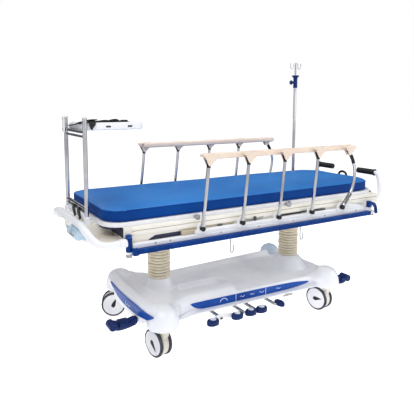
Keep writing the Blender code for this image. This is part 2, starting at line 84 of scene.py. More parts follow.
class Nodes:
    """Short hand for the node tree of a material or a world."""

    def __init__(self, owner, coord="Object"):
        self.owner = owner
        owner.use_nodes = True
        self.tree = owner.node_tree
        self.shader = self.tree.nodes.get("Principled BSDF")
        self.coord = self.add("TexCoord").outputs[coord]

    def fill(self, node, sockets):
        """Link each of a node's sockets, or set it to a value or a colour."""
        for key, value in sockets.items():
            if hasattr(value, "is_linked"):
                self.tree.links.new(value, node.inputs[key])
            else:
                node.inputs[key].default_value = rgb(value)

    def add(self, kind, sockets=None, **settings):
        """A new node, set up and with its sockets filled."""
        node = self.tree.nodes.new("ShaderNode" + kind)
        for key, value in settings.items():
            setattr(node, key, value)
        self.fill(node, sockets or {})
        return node

    def noise(self, scale, detail=3.0, stretch=None):
        place = self.coord
        if stretch is not None:
            place = self.add("Mapping", {"Vector": place, "Scale": stretch}).outputs["Vector"]
        return self.add("TexNoise", {"Vector": place, "Scale": scale, "Detail": detail}).outputs["Fac"]

    def cells(self, scale):
        return self.add("TexVoronoi", {"Vector": self.coord, "Scale": scale}).outputs["Distance"]

    def wave(self, scale, axis):
        return self.add("TexWave", {"Vector": self.coord, "Scale": scale}, bands_direction=axis).outputs["Fac"]

    def ramp(self, fac, *stops):
        node = self.add("ValToRGB", {"Fac": fac})
        for element, (at, colour) in zip(node.color_ramp.elements, stops):
            element.position = at
            element.color = rgb(colour)
        return node.outputs["Color"]

    def span(self, fac, low, high):
        return self.add("MapRange", {"Value": fac, "To Min": low, "To Max": high}).outputs["Result"]

    def mix(self, fac, a, b, blend="MIX"):
        return self.add("Mix", {0: fac, 6: a, 7: b}, data_type="RGBA", blend_type=blend).outputs[2]

    def bump(self, height, strength, distance=0.001, after=None):
        sockets = {"Height": height, "Strength": strength, "Distance": distance}
        if after is not None:
            sockets["Normal"] = after
        return self.add("Bump", sockets).outputs["Normal"]

    def finish(self, colour, rough, normal, **fixed):
        self.fill(self.shader, {"Base Color": colour, "Roughness": rough, "Normal": normal})
        self.fill(self.shader, {key.replace("_", " "): value for key, value in fixed.items()})
        return self.owner


def material(name):
    return Nodes(bpy.data.materials.new(name))


def moulded(name, base, shade, rough=0.38, grain=900.0, depth=0.1, wear=None, **fixed):
    """Moulded plastic or powder coat: soft tone drift, orange peel and rubbed edges."""
    n = material(name)
    colour = n.ramp(n.noise(5.0, 4.0), (0.3, shade), (0.62, base))
    specks = n.ramp(n.noise(260.0, 2.0), (0.36, grey(0.86)), (0.46, WHITE))
    colour = n.mix(0.22, colour, specks, "MULTIPLY")
    if wear is not None:
        edges = n.add("NewGeometry").outputs["Pointiness"]
        edge = n.ramp(edges, (0.535, BLACK), (0.6, WHITE))
        patch = n.ramp(n.noise(38.0, 5.0), (0.52, BLACK), (0.66, WHITE))
        colour = n.mix(n.mix(1.0, edge, patch, "MULTIPLY"), colour, wear)
    peel = n.bump(n.noise(grain, 2.0), depth, 0.0006)
    drift = n.bump(n.noise(14.0, 2.0), 0.05, 0.004, peel)
    return n.finish(colour, n.span(n.noise(30.0, 4.0), rough - 0.07, rough + 0.09), drift, **fixed)


def polished(name, base, shade, rough=0.13, stretch=(60.0, 60.0, 1.5), **fixed):
    """Plated or brushed metal with long fine scratches and faint smears."""
    n = material(name)
    colour = n.ramp(n.noise(6.0, 5.0), (0.32, shade), (0.6, base))
    scratch = n.noise(9.0, 6.0, stretch)
    rough_map = n.mix(0.5, n.span(scratch, rough - 0.04, rough + 0.06),
                      n.span(n.noise(22.0, 5.0), rough - 0.03, rough + 0.05))
    return n.finish(colour, rough_map, n.bump(scratch, 0.02, 0.0003), Metallic=1.0, **fixed)


def vinyl(name, base, shade, rough=0.42, sheen=0.12, shine=0.25):
    """Coated mattress cloth: pebbled grain over a fine weave, with soft creases."""
    n = material(name)
    colour = n.ramp(n.noise(3.2, 5.0), (0.28, shade), (0.66, base))
    colour = n.mix(0.3, colour, n.ramp(n.cells(520.0), (0.05, (0.72, 0.72, 0.76, 1)), (0.5, WHITE)), "MULTIPLY")
    grain = n.bump(n.cells(520.0), 0.22, 0.0006)
    weave = n.bump(n.mix(0.5, n.wave(190.0, "X"), n.wave(190.0, "Y")), 0.1, 0.0003, grain)
    crease = n.bump(n.noise(7.0, 4.0, (1.0, 2.2, 1.0)), 0.22, 0.006, weave)
    return n.finish(colour, n.span(n.noise(18.0, 4.0), rough - 0.08, rough + 0.1), crease,
                    Sheen_Weight=sheen, Sheen_Roughness=0.4, Coat_Weight=sheen, Coat_Roughness=0.35,
                    Specular_IOR_Level=shine)


def webbing(name):
    """Black nylon strap with its woven ribs."""
    n = material(name)
    rib = n.mix(0.5, n.wave(420.0, "X"), n.wave(420.0, "Y"))
    colour = n.ramp(rib, (0.2, "040405"), (0.9, "141416"))
    return n.finish(colour, n.span(n.noise(60.0), 0.55, 0.8), n.bump(rib, 0.5, 0.0006), Sheen_Weight=0.05)


def rubber(name, base, shade, rough=0.62, grain=500.0, hollow_shade=None, dusty=0.16, **fixed):
    """Rubber or soft plastic: matt, dusty in patches, finely pitted; given a shade colour, its folds take it as
    painted shade.
    """
    n = material(name)
    colour = n.ramp(n.noise(24.0, 5.0), (0.3, shade), (0.68, base))
    dust = n.ramp(n.noise(90.0, 4.0), (0.5, BLACK), (0.78, WHITE))
    colour = n.mix(n.span(dust, 0.0, dusty), colour, "c8c4bc")
    if hollow_shade is not None:
        # painted shade: hollow places, found by low pointiness, take the shade colour
        fold = n.ramp(n.add("NewGeometry").outputs["Pointiness"], (0.42, WHITE), (0.485, BLACK))
        colour = n.mix(fold, colour, hollow_shade)
    return n.finish(colour, n.span(n.noise(50.0, 3.0), rough - 0.1, rough + 0.12),
                    n.bump(n.noise(grain, 2.0), 0.18, 0.0006), **fixed)


def printed(name):
    """Blue printed control strip under a clear gloss film."""
    n = material(name)
    colour = n.ramp(n.noise(4.0, 2.0), (0.3, "003e98"), (0.7, "0452b2"))
    dots = n.ramp(n.cells(340.0), (0.1, (0.8, 0.84, 1.0, 1)), (0.32, WHITE))
    colour = n.mix(0.35, colour, dots, "MULTIPLY")
    return n.finish(colour, n.span(n.noise(40.0, 4.0), 0.3, 0.42), n.bump(n.noise(30.0, 2.0), 0.04, 0.002),
                    Coat_Weight=0.1, Coat_Roughness=0.12, Specular_IOR_Level=0.25)


def clear_blue(name, clear, low, high):
    """Light blue translucent moulding with faint flow marks."""
    n = material(name)
    colour = n.ramp(n.noise(18.0, 5.0, (1.0, 3.0, 1.0)), (0.3, low), (0.7, high))
    return n.finish(colour, n.span(n.noise(60.0), 0.12, 0.28), n.bump(n.noise(70.0, 3.0), 0.12, 0.001),
                    Transmission_Weight=clear, IOR=1.45, Coat_Weight=0.3)


M = {
    "cover": moulded("cover_white", "fbfcff", "f1f3fb", 0.3, 700.0, 0.08,
                     Coat_Weight=0.25, Coat_Roughness=0.2),
    "tray": moulded("tray_grey", "f4f6fa", "e7e9f0", 0.5, 420.0, 0.35),
    "cream": moulded("frame_cream", "faf7ee", "f0ebde", 0.42, 800.0, 0.16),
    "white": moulded("tube_white", "f5f6f8", "eaebf0", 0.32, 900.0, 0.12),
    "deck": moulded("deck_white", "f6f6f9", "eaebf0", 0.38, 600.0, 0.2),
    "castor": moulded("castor_white", "f6f6f8", "e2e3e8", 0.35, 700.0, 0.12, "aaaaae"),
    "beige": moulded("rail_beige", "f0decc", "e7d1be", 0.4, 500.0, 0.18),
    "hub": moulded("castor_cream", "eeeade", "dcd6c8", 0.4, 600.0, 0.12, "b4b0aa"),
    "tan": moulded("frame_tan", "c4b8a0", "aa9e86", 0.45, 500.0, 0.2),
    "tan_light": moulded("plate_cream", "e2dacc", "cec4b4", 0.45, 500.0, 0.2),
    # a dark navy used as painted shadow under the frame's foot part and round the foot corner
    "shadow_navy": moulded("shade_navy", "1e2242", "12142e", 0.5, 500.0, 0.2),
    # a dark brown used as painted shade in the slots under the deck edge
    "gap_shade": moulded("shadow_gap", "3a3634", "282628", 0.6, 400.0, 0.3),
    "bumper": moulded("bumper_blue", "003882", "002c6c", 0.45, 520.0, 0.2, "0a4a94",
                     Specular_IOR_Level=0.12),
    "navy": moulded("pedal_navy", "002664", "001a4c", 0.4, 480.0, 0.25, "144286",
                   Specular_IOR_Level=0.25),
    "pad": moulded("pad_face", "e8ecf6", "ced6ea", 0.4, 400.0, 0.3, "96a0be"),
    "block": clear_blue("block_clear_blue", 0.3, "c4e4f8", "def2fd"),
    # a light blue tint used as painted shade on the far head castor's white pod
    "hood": clear_blue("hood_painted_blue_shade", 0.12, "c4daf4", "e0ecfa"),
    "lens": printed("strip_print"),
    "ink": moulded("ink_white", "ecf3fe", "d6e2f8", 0.3, 900.0, 0.05),
    "chrome": polished("post_chrome", "cccbcc", "a8a8ac"),
    "steel": polished("rod_steel", "bcbab6", "969490", 0.28),
    # the bellows get a darker brown painted as shade in their folds
    "bellows": rubber("bellows_rubber", "f6eedc", "e6dbc4", 0.6, 420.0, "7e6e54"),
    "tyre": rubber("tyre_grey", "363a48", "1c1e28", 0.6, 300.0),
    "black": rubber("black_grip", "0e0e10", "040406", 0.42, 350.0, None, 0.03, Specular_IOR_Level=0.3),
    "grey": rubber("roller_grey", "a8aaae", "888a8e", 0.55),
    "dark": moulded("dark_metal", "424248", "28282e", 0.4, 500.0, 0.2, "8c8c90"),
    # one mattress cloth in two copies: a lighter one as painted light on the top, a darker one as painted shade on
    # the sides
    "vinyl_lit_top": vinyl("vinyl_lit_top", "227ac6", "166ab8", 0.46, 0.06),
    "vinyl_shaded_side": vinyl("vinyl_shaded_side", "004492", "00347c", 0.55, 0.01, 0.1),
    "strap": webbing("strap_black"),
}


# ---- geometry
# turns in degrees that lay a piece's own axis along X or Y
ALONG_X, ALONG_Y = (0, 90, 0), (90, 0, 0)


def outward(bm):
    bmesh.ops.recalc_face_normals(bm, faces=bm.faces)
    return bm


def skin(bm, low, high):
    """A band of faces between two rings of vertices."""
    for n in range(len(low)):
        m = (n + 1) % len(low)
        bm.faces.new((low[n], low[m], high[m], high[n]))


def join(*sources):
    """One bmesh from several."""
    out = bmesh.new()
    for bm in sources:
        mesh = bpy.data.meshes.new("joined")
        bm.to_mesh(mesh)
        bm.free()
        out.from_mesh(mesh)
        bpy.data.meshes.remove(mesh)
    return out


def moved(bm, at=(0, 0, 0), turn=(0, 0, 0), matrix=None):
    m = Matrix.Translation(at)
    for angle, axis in zip(turn, "XYZ"):
        if angle:
            m = m @ Matrix.Rotation(math.radians(angle), 4, axis)
    if matrix is not None:
        m = matrix @ m
    bmesh.ops.transform(bm, matrix=m, verts=bm.verts)
    return bm


def box(xs, ys, zs, bevel=0.003, segments=3):
    """A box from its limits, with rounded edges."""
    bm = bmesh.new()
    bmesh.ops.create_cube(bm, size=1.0)
    lows, sizes = [min(a) for a in (xs, ys, zs)], [abs(a[1] - a[0]) for a in (xs, ys, zs)]
    bmesh.ops.scale(bm, vec=sizes, verts=bm.verts)
    bmesh.ops.translate(bm, vec=[low + size / 2 for low, size in zip(lows, sizes)], verts=bm.verts)
    bevel = min(bevel, min(sizes) * 0.45)
    bmesh.ops.bevel(bm, geom=bm.edges[:], offset=bevel, segments=segments, affect="EDGES", profile=0.5)
    return bm


def boxes(side, bevel, *rows):
    """Rounded boxes on one side of the bed, from rows of X, Y and Z limits."""
    return [box(row[:2], (side * row[2], side * row[3]), row[4:], bevel) for row in rows]


def blocks(at, *rows):
    """Rounded boxes from rows of X, Y and Z limits about a point, each with its bevel and the bevel's steps."""
    x, y, z = at
    return [box((x + r[0], x + r[1]), (y + r[2], y + r[3]), (z + r[4], z + r[5]), *r[6:]) for r in rows]


def spline(points, steps, closed=False):
    """A smooth curve through the given points."""
    pts = [Vector(p) for p in points]
    count = len(pts)
    out = []
    for n in range(count if closed else count - 1):
        if closed:
            a, b, c, d = (pts[(n + k) % count] for k in (-1, 0, 1, 2))
        else:
            a, b, c, d = (pts[min(max(n + k, 0), count - 1)] for k in (-1, 0, 1, 2))
        for k in range(steps):
            t = k / steps
            out.append(0.5 * ((2 * b) + (c - a) * t + (2 * a - 5 * b + 4 * c - d) * t * t
                              + (3 * b - a - 3 * c + d) * t ** 3))
    if not closed:
        out.append(pts[-1])
    return out


def sweep(path, profile, closed=False, up=None):
    """A section, as (across, up) points, carried along a path and capped."""
    path = [Vector(p) for p in path]
    count = len(path)
    bm = bmesh.new()
    rings, last = [], None
    for n, p in enumerate(path):
        if closed:
            ahead = (path[(n + 1) % count] - path[n - 1]).normalized()
        else:
            ahead = (path[min(n + 1, count - 1)] - path[max(n - 1, 0)]).normalized()
        if up is not None:
            side = ahead.cross(Vector(up)).normalized()
        elif last is None:
            guess = Vector((0, 0, 1)) if abs(ahead.z) < 0.9 else Vector((0, 1, 0))
            side = ahead.cross(guess).normalized()
        else:
            side = (last - ahead * last.dot(ahead)).normalized()
        last = side
        top = side.cross(ahead).normalized()
        rings.append([bm.verts.new(p + side * u + top * v) for u, v in profile])
    pairs = list(zip(rings, rings[1:])) + ([(rings[-1], rings[0])] if closed else [])
    for low, high in pairs:
        skin(bm, low, high)
    if not closed:
        bm.faces.new(rings[0][::-1])
        bm.faces.new(rings[-1])
    return outward(bm)


def circle(radius, sides):
    return [(radius * math.cos(math.tau * n / sides), radius * math.sin(math.tau * n / sides))
            for n in range(sides)]


def arc(cx, cy, radius, start, turn, steps):
    """Points on a circle, over a turn in degrees."""
    angles = [math.radians(start + turn * n / steps) for n in range(steps + 1)]
    return [(cx + radius * math.cos(a), cy + radius * math.sin(a)) for a in angles]


def rounded(width, height, radius, steps=4):
    """A rounded rectangle section."""
    u, v = width / 2 - radius, height / 2 - radius
    return [p for cx, cy, start in ((u, v, 0), (-u, v, 90), (-u, -v, 180), (u, -v, 270))
            for p in arc(cx, cy, radius, start, 90, steps)]


def smooth_outline(points, steps):
    """A closed outline in X and Y made smooth."""
    return [(q.x, q.y) for q in spline([(x, y, 0) for x, y in points], steps, True)]


def mirrored(points):
    """A path from its far half: the near half, then the given one backwards, with its last point once."""
    return [(x, -y, z) for x, y, z in points] + [tuple(p) for p in points[-2::-1]]


def tube(path, radius, sides):
    return sweep(path, circle(radius, sides))


def lathe(profile, steps=48, at=(0, 0, 0), turn=(0, 0, 0)):
    """A turned solid from (radius, z) points; ends on the axis or closes on itself."""
    bm = bmesh.new()
    rings = []
    for r, z in profile:
        if r < 1e-6:
            rings.append([bm.verts.new((0, 0, z))])
        else:
            rings.append([bm.verts.new((r * math.cos(math.tau * n / steps), r * math.sin(math.tau * n / steps), z))
                          for n in range(steps)])
    pairs = list(zip(rings, rings[1:]))
    if len(rings[0]) > 1:
        pairs.append((rings[-1], rings[0]))
    for a, b in pairs:
        if len(a) == len(b):
            skin(bm, a, b)
            continue
        for n in range(steps):
            m = (n + 1) % steps
            bm.faces.new((a[0], b[n], b[m]) if len(a) == 1 else (a[n], a[m], b[0]))
    return moved(outward(bm), at, turn)


def loft(loops, ring=False):
    """A closed form through plan outlines, each given as (z, points). As a ring, its last outline joins its first."""
    bm = bmesh.new()
    rings = [[bm.verts.new((x, y, z)) for x, y in loop] for z, loop in loops]
    for low, high in zip(rings, rings[1:] + rings[:1] if ring else rings[1:]):
        skin(bm, low, high)
    if not ring:
        bm.faces.new(rings[-1])
        bm.faces.new(rings[0][::-1])
    return outward(bm)


def puck(radius, half, across, along, steps, at, turn):
    """A round block about its centre, its rims eased by so much across and along."""
    ends = ((0, half), (radius - across, half), (radius, half - along))
    return lathe(ends + tuple((r, -z) for r, z in ends[::-1]), steps, at, turn)


def plate(outline, thickness, bevel=0.0015, at=(0, 0, 0), turn=(0, 0, 0), segments=2):
    """A flat outline in X and Y given thickness about Z = 0, edges eased."""
    bm = bmesh.new()
    low = [bm.verts.new((x, y, -thickness / 2)) for x, y in outline]
    high = [bm.verts.new((x, y, thickness / 2)) for x, y in outline]
    rims = [bm.faces.new(low[::-1]), bm.faces.new(high)]
    skin(bm, low, high)
    outward(bm)
    if bevel:
        edges = {e for f in rims for e in f.edges}
        bmesh.ops.bevel(bm, geom=list(edges), offset=bevel, segments=segments, affect="EDGES", profile=0.5)
    return moved(bm, at, turn)


def modifier(obj, name, kind, **values):
    mod = obj.modifiers.new(name, kind)
    for key, value in values.items():
        setattr(mod, key, value)
    return mod


def evaluated(obj):
    """The mesh as its modifiers leave it."""
    bpy.context.view_layer.update()
    return bpy.data.meshes.new_from_object(obj.evaluated_get(bpy.context.evaluated_depsgraph_get()))


def apply_modifiers(obj):
    done = evaluated(obj)
    obj.modifiers.clear()
    obj.data = done


def shade_smooth(mesh):
    mesh.polygons.foreach_set("use_smooth", [True] * len(mesh.polygons))


def new_object(name, bm):
    """An object in the scene from a bmesh, which is used up."""
    mesh = bpy.data.meshes.new(name)
    bm.to_mesh(mesh)
    bm.free()
    obj = bpy.data.objects.new(name, mesh)
    scene.collection.objects.link(obj)
    return obj


def make(name, bm, mat, body, replaces=(), angle=32.0):
    """Finish a piece: mesh, shading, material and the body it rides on."""
    obj = new_object(name, bm)
    mesh = obj.data
    mesh.materials.append(M[mat])
    shade_smooth(mesh)
    mesh.set_sharp_from_angle(angle=math.radians(angle))
    if body is not None:
        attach(obj, body)
    if replaces:
        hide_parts(*replaces)
    return obj


def dress(node, mat, bevel):
    """A CAD node whose shape is right keeps it, with eased edges and a real finish."""
    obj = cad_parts[node]
    if not obj.material_slots:
        obj.data.materials.append(M[mat])
    for s in obj.material_slots:
        s.material = M[mat]
    modifier(obj, "eased", "BEVEL", width=bevel, segments=3, limit_method="ANGLE", angle_limit=math.radians(40),
             harden_normals=True)


# ---- base cover
FRONT_X, FRONT_BOW, FRONT_HALF = -0.7, 0.022, 0.25
LIP_X, LIP_BOW, LIP_HALF, LIP_Z, LIP_R = -0.666, 0.016, 0.27, 0.247, 0.0415
COVER_SIDE = ((-0.7, 0.235), (-0.68, 0.28), (-0.64, 0.305), (-0.56, 0.302), (-0.5, 0.272),
              (-0.44, 0.25), (0.418, 0.285), (0.5, 0.292), (0.57, 0.285), (0.605, 0.255), (0.62, 0.205))
COVER_LEVELS = ((0.184, 0.003), (0.187, 0.0), (0.232, 0.0), (0.24, 0.006), (0.244, 0.016), (0.238, 0.027),
                (0.222, 0.034), (0.2075, 0.042))
WALL_SLOPE = (0.285 - 0.25) / (0.418 + 0.44)
WALL_AT_0 = 0.25 + 0.44 * WALL_SLOPE
FLOOR_Z, DECK_TOP = 0.208, 0.264
PLATFORM = ((-0.7, -0.235), (-0.68, -0.28), (-0.64, -0.3), (-0.56, -0.297), (-0.5, -0.262),
            (-0.44, -0.238), (-0.125, -0.246), (-0.095, -0.215), (-0.09, -0.075), (-0.12, -0.035),
            (-0.3, -0.03), (-0.385, 0.0), (-0.385, 0.09), (-0.44, 0.15), (-0.5, 0.262),
            (-0.56, 0.297), (-0.64, 0.3), (-0.68, 0.28), (-0.7, 0.235))
PLATFORM_LEVELS = ((0.19, 0.0), (0.236, 0.0), (0.252, 0.006), (0.261, 0.018), (DECK_TOP, 0.034))
STEM_X, STEM_Y = {"foot": -0.626, "head": 0.53}, 0.3
STEMS = {f"{end}_{side}": (x, s * STEM_Y) for end, x in STEM_X.items() for side, s in SIDES.items()}
DOME = ((0.0, 0.2905), (0.028, 0.288), (0.053, 0.277), (0.071, 0.255), (0.081, 0.222), (0.086, 0.19),
        (0.0865, 0.172), (0.0, 0.172))


def lip_x(y):
    """Where the middle of the foot end's round lip runs."""
    return LIP_X - LIP_BOW * (1 - (y / LIP_HALF) ** 2)


def front_x(y):
    """The bowed front below the lip."""
    return FRONT_X - FRONT_BOW * (1 - (y / FRONT_HALF) ** 2)


def cover_loop(inset):
    """Plan of the cover at one level: waisted sides, drawn in by an inset."""
    side = [(x + inset * x / -0.7 if x < 0 else x - 0.4 * inset * x / 0.62, y - inset) for x, y in COVER_SIDE]
    return [(x, -y) for x, y in side] + side[::-1]


def platform_loop(inset):
    """Plan of the raised foot platform at one level."""
    cx, cy = -0.45, -0.03
    return [(x - math.copysign(min(inset, abs(x - cx)), x - cx), y - math.copysign(min(inset, abs(y - cy)), y - cy))
            for x, y in PLATFORM]


def pill(x0, x1, half, steps, y):
    """A long outline with round ends."""
    return arc(x1 - half, y, half, -90, 180, steps) + arc(x0 + half, y, half, 90, 180, steps)


shell = [loft([(z, cover_loop(inset)) for z, inset in COVER_LEVELS]),
         loft([(z, platform_loop(inset)) for z, inset in PLATFORM_LEVELS])]
for key, (x, y) in STEMS.items():
    if key == "head_far":
        continue
    shell.append(lathe(DOME, 48, (x, y, 0)))
    toward = -1 if x > 0 else 1
    blend_z = 0.222 if x > 0 else 0.24
    shell.append(lathe(((0, 0.03), (0.05, 0.022), (0.075, 0.0), (0.05, -0.02), (0, -0.03)), 32,
                       (x + toward * 0.045, y * 0.9, blend_z)))
shell.append(tube([(lip_x(y), y, LIP_Z) for y in [0.3 - 0.05 * n for n in range(13)]], LIP_R, 22))
front = [(front_x(y), y) for y in [0.25 - 0.5 * n / 16 for n in range(17)]]
shell.append(loft([(z, [(-0.64, -FRONT_HALF), (-0.64, FRONT_HALF)] + [(x + d, y) for x, y in front])
                   for z, d in ((0.188, 0.012), (0.194, 0.004), (0.215, 0.0), (0.245, 0.0))]))
shell.append(box((-0.712, -0.64), (-0.195, 0.195), (0.15, 0.215), 0.02))
cover = make("base_moulding", join(*shell), "cover", None, ("base_cover",), 60)
pocket = new_object("pocket_cut", loft([(z, pill(-0.432 - g, -0.122 + g, 0.05 + g, 12, -0.102)) for z, g in
                                        ((0.228, -0.012), (0.232, -0.004), (0.262, 0.003), (0.29, 0.006))]))
modifier(cover, "weld", "REMESH", mode="VOXEL", voxel_size=0.0062)
modifier(cover, "pocket", "BOOLEAN", operation="DIFFERENCE", object=pocket)
modifier(cover, "weld_again", "REMESH", mode="VOXEL", voxel_size=0.0058)
modifier(cover, "flow", "SMOOTH", factor=0.5, iterations=7)
apply_modifiers(cover)
bpy.data.objects.remove(pocket)
shade_smooth(cover.data)
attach(cover, "base")

LEDGE = ((0.18, 0.03), (0.1812, 0.0355), (0.1845, 0.037), (0.1868, 0.0345), (0.188, 0.028), (0.1884, -0.01),
         (0.1805, -0.01))


def ledge_loop(out):
    """Plan of the skirt's bottom ledge: out from the waist, fading into the cover at both ends."""
    side = []
    for n in range(41):
        x = -0.585 + 1.135 * n / 40
        y = next(y0 + (y1 - y0) * (x - x0) / (x1 - x0) for (x0, y0), (x1, y1) in zip(COVER_SIDE[3:], COVER_SIDE[4:])
                 if x <= x1) if x > -0.56 else 0.302
        fade = min(1.0, (x + 0.585) / 0.1, (0.55 - x) / 0.1)
        side.append((x, y - 0.006 + (out + 0.006) * fade))
    return [(x, -y) for x, y in side] + side[::-1]


make("skirt_ledge", loft([(z, ledge_loop(out)) for z, out in LEDGE], True), "cover", "base")
stub = join(box((0.187, 0.262), (-0.303, -0.292), (0.158, 0.168), 0.003),
            box((0.214, 0.236), (-0.3, -0.262), (0.163, 0.186), 0.003))
make("skirt_stop", stub, "steel", "base")

mat_outline = [(-0.372, 0.196), (-0.405, 0.15), (-0.372, 0.02), (-0.29, -0.01), (-0.085, -0.02),
               (-0.07, -0.215), (0.41, -0.235), (0.5, -0.205), (0.585, -0.16), (0.6, -0.08),
               (0.6, 0.08), (0.585, 0.16), (0.5, 0.205), (0.41, 0.235)]
make("tray_mat", plate(smooth_outline(mat_outline, 5), 0.004, 0.0015, (0, 0, FLOOR_Z + 0.0015)), "tray", "base")
make("pocket_mat", plate(pill(-0.419, -0.135, 0.04, 12, -0.102), 0.003, 0.001, (0, 0, 0.2295)), "tray", "base")
# the far head castor's pod gets a light blue hood in place of a white dome: painted shade, its tint standing for the
# bluish shading on the white moulding
HOOD = ((0, 0.272), (0.026, 0.2695), (0.046, 0.26), (0.06, 0.244), (0.0675, 0.22), (0.071, 0.19),
        (0.072, 0.16), (0.069, 0.157), (0.0, 0.157))
make("castor_hood_head_far", lathe(HOOD, 56, (0.57, 0.3, 0)), "hood", "base")

# control strips let into the skirt, with plain line marks
STRIP = [(-0.432, 0.2265), (-0.41, 0.207), (-0.375, 0.1935), (-0.31, 0.1886), (-0.2, 0.1885), (0.08, 0.189),
         (0.28, 0.1925), (0.365, 0.2), (0.403, 0.2095), (0.375, 0.218), (0.27, 0.2275), (0.08, 0.2318),
         (-0.24, 0.2325), (-0.4, 0.2322), (-0.425, 0.23)]


def marks(points, width=0.0022):
    return sweep([(x, z, 0.0) for x, z in points], rounded(width, 0.0012, 0.0005, 2), up=(0, 0, 1))


ARC = arc(-0.222, 0.198, 0.025, 18, 144, 14)
for side, s in SIDES.items():
    wall = Matrix.Translation((0, s * WALL_AT_0, 0)) @ Matrix.Rotation(s * math.atan(WALL_SLOPE), 4, "Z")
    strip = plate(smooth_outline(STRIP, 4), 0.0045, 0.0018, (0, s * 0.0018, 0), ALONG_Y)
    make(f"strip_{side}", strip, "lens", "base", (f"lens_{side}",)).data.transform(wall)
    signs = [marks(ARC, 0.0042), marks([(-0.14, 0.1885), (-0.14, 0.232)], 0.0032),
             marks([(0.07, 0.189), (0.07, 0.2318)], 0.0032)]
    for x, size in ((-0.112, 1.0), (-0.042, 0.9), (0.022, 1.1), (0.15, 0.9)):
        wiggle = [(x + size * 0.008 * n, 0.2115 + size * 0.0038 * math.sin(1.9 * n)) for n in range(5)]
        signs.append(marks(wiggle, 0.0028))
    lift = s * 0.0043
    make(f"strip_marks_{side}", moved(join(*signs), (0, lift, 0), ALONG_Y), "ink", "base").data.transform(wall)
FOOT_STRIP = [(-0.345, 0.252), (-0.3, 0.224), (-0.247, 0.207), (-0.15, 0.201), (-0.073, 0.203), (0.0, 0.207),
              (0.08, 0.214), (0.133, 0.2226), (0.185, 0.24), (0.218, 0.256), (0.15, 0.258), (0.0, 0.258),
              (-0.144, 0.259), (-0.25, 0.2535), (-0.3, 0.252)]


def dome_radius(z):
    """The castor pod's radius at a height."""
    for (r0, z0), (r1, z1) in zip(DOME, DOME[1:]):
        if z1 <= z <= z0 and z0 > z1:
            return r0 + (r1 - r0) * (z0 - z) / (z0 - z1)
    return 0.0


def foot_face(y, z):
    """How far out the foot end of the cover stands at y and z: front, lip or castor pod."""
    out = [-0.56]
    if abs(y) < FRONT_HALF:
        out.append(front_x(y) + 0.35 * max(0.0, z - 0.24))
    if abs(z - LIP_Z) < LIP_R:
        out.append(lip_x(y) - math.sqrt(LIP_R ** 2 - (z - LIP_Z) ** 2))
    reach, off = dome_radius(z), abs(y) - STEM_Y
    if abs(off) < reach:
        out.append(STEM_X["foot"] - math.sqrt(reach ** 2 - off ** 2))
    return min(out)


def on_foot_end(bm, lift):
    """Lay a flat piece drawn in X and Y onto the foot end of the cover."""
    for v in bm.verts:
        y, z, out = v.co.x, v.co.y, v.co.z
        near = [foot_face(y + dy, z) for dy in (-0.016, -0.008, 0.0, 0.008, 0.016)]
        v.co = (sum(near) / len(near) - lift - out, y, z)
    return outward(bm)


def foot_sheet(outline, thickness, lift):
    """A strip cut fine enough to wrap round the pods."""
    bm = bmesh.new()
    bm.faces.new([bm.verts.new((x, y, 0)) for x, y in outline])
    cuts = [((-0.36 + 0.72 * n / 60, 0, 0), (1, 0, 0)) for n in range(1, 60)]
    cuts += [((0, 0.2 + 0.009 * n, 0), (0, 1, 0)) for n in range(8)]
    for at, normal in cuts:
        bmesh.ops.bisect_plane(bm, geom=bm.verts[:] + bm.edges[:] + bm.faces[:], plane_co=at, plane_no=normal)
    grown = bmesh.ops.extrude_face_region(bm, geom=bm.faces[:])
    for v in [g for g in grown["geom"] if isinstance(g, bmesh.types.BMVert)]:
        v.co.z += thickness
    return on_foot_end(bm, lift)


make("strip_foot", foot_sheet(smooth_outline(FOOT_STRIP, 4), 0.004, 0.001), "lens", "base",
     ("lens_foot",))
lines = [marks([(x + 0.007 * n, 0.222 + 0.006 * math.sin(2.1 * n)) for n in range(4)], 0.0034)
         for x in (0.15, 0.125, 0.1, -0.075, -0.1)]
lines.append(marks([(-0.045, 0.212), (-0.04, 0.224), (-0.046, 0.234)], 0.0034))
make("strip_marks_foot", on_foot_end(join(*lines), 0.0058), "ink", "base")

# ---- columns
LOW_Z = {"foot": 0.3205, "head": 0.2955}
HIGH_Z = 0.6045
RAMS = {"foot": "foot_ram", "head": "head_ram"}
SKIRTS = {"foot": ((0.069, 0.316), (0.07, 0.308), (0.0735, 0.296), (0.08, 0.283), (0.088, 0.272),
                   (0.099, 0.265), (0.106, 0.263)),
          "head": ((0.069, 0.292), (0.077, 0.287), (0.089, 0.2745), (0.1005, 0.257), (0.11, 0.238),
                   (0.1165, 0.221), (0.1215, 0.2095))}
PLEATS = {"foot": 16, "head": 17}
# Which pleats run between which two bodies. The head sleeve is in two runs, because its foot stands on the base,
# its middle goes with the foot ram and its top with the head ram.
RUNS = {"foot": (("", 0, 16, "base", "foot_ram"),),
        "head": (("", 0, 7, "foot_ram", "head_ram"), ("_low", 7, 17, "base", "foot_ram"))}


def pleats(end, x, first, last, high, pitch):
    """One closed run of a sleeve, from the top of pleat first to the foot of the pleat before last."""
    profile = [(0.052, high - first * pitch)]
    for n in range(first, last):
        swell = 0.0018 * math.sin(2.3 * n + (1.0 if end == "foot" else 0.0))
        for t, r in ((0.05, 0.053), (0.16, 0.057), (0.3, 0.0628), (0.44, 0.0658), (0.58, 0.0658), (0.72, 0.0628),
                     (0.86, 0.057), (0.97, 0.053)):
            profile.append((r + swell * (r > 0.058), high - (n + t) * pitch))
    foot = high - last * pitch
    profile += [(0.052, foot), (0.048, foot), (0.048, high - first * pitch)]
    return lathe(profile, 64, (x, 0, 0))


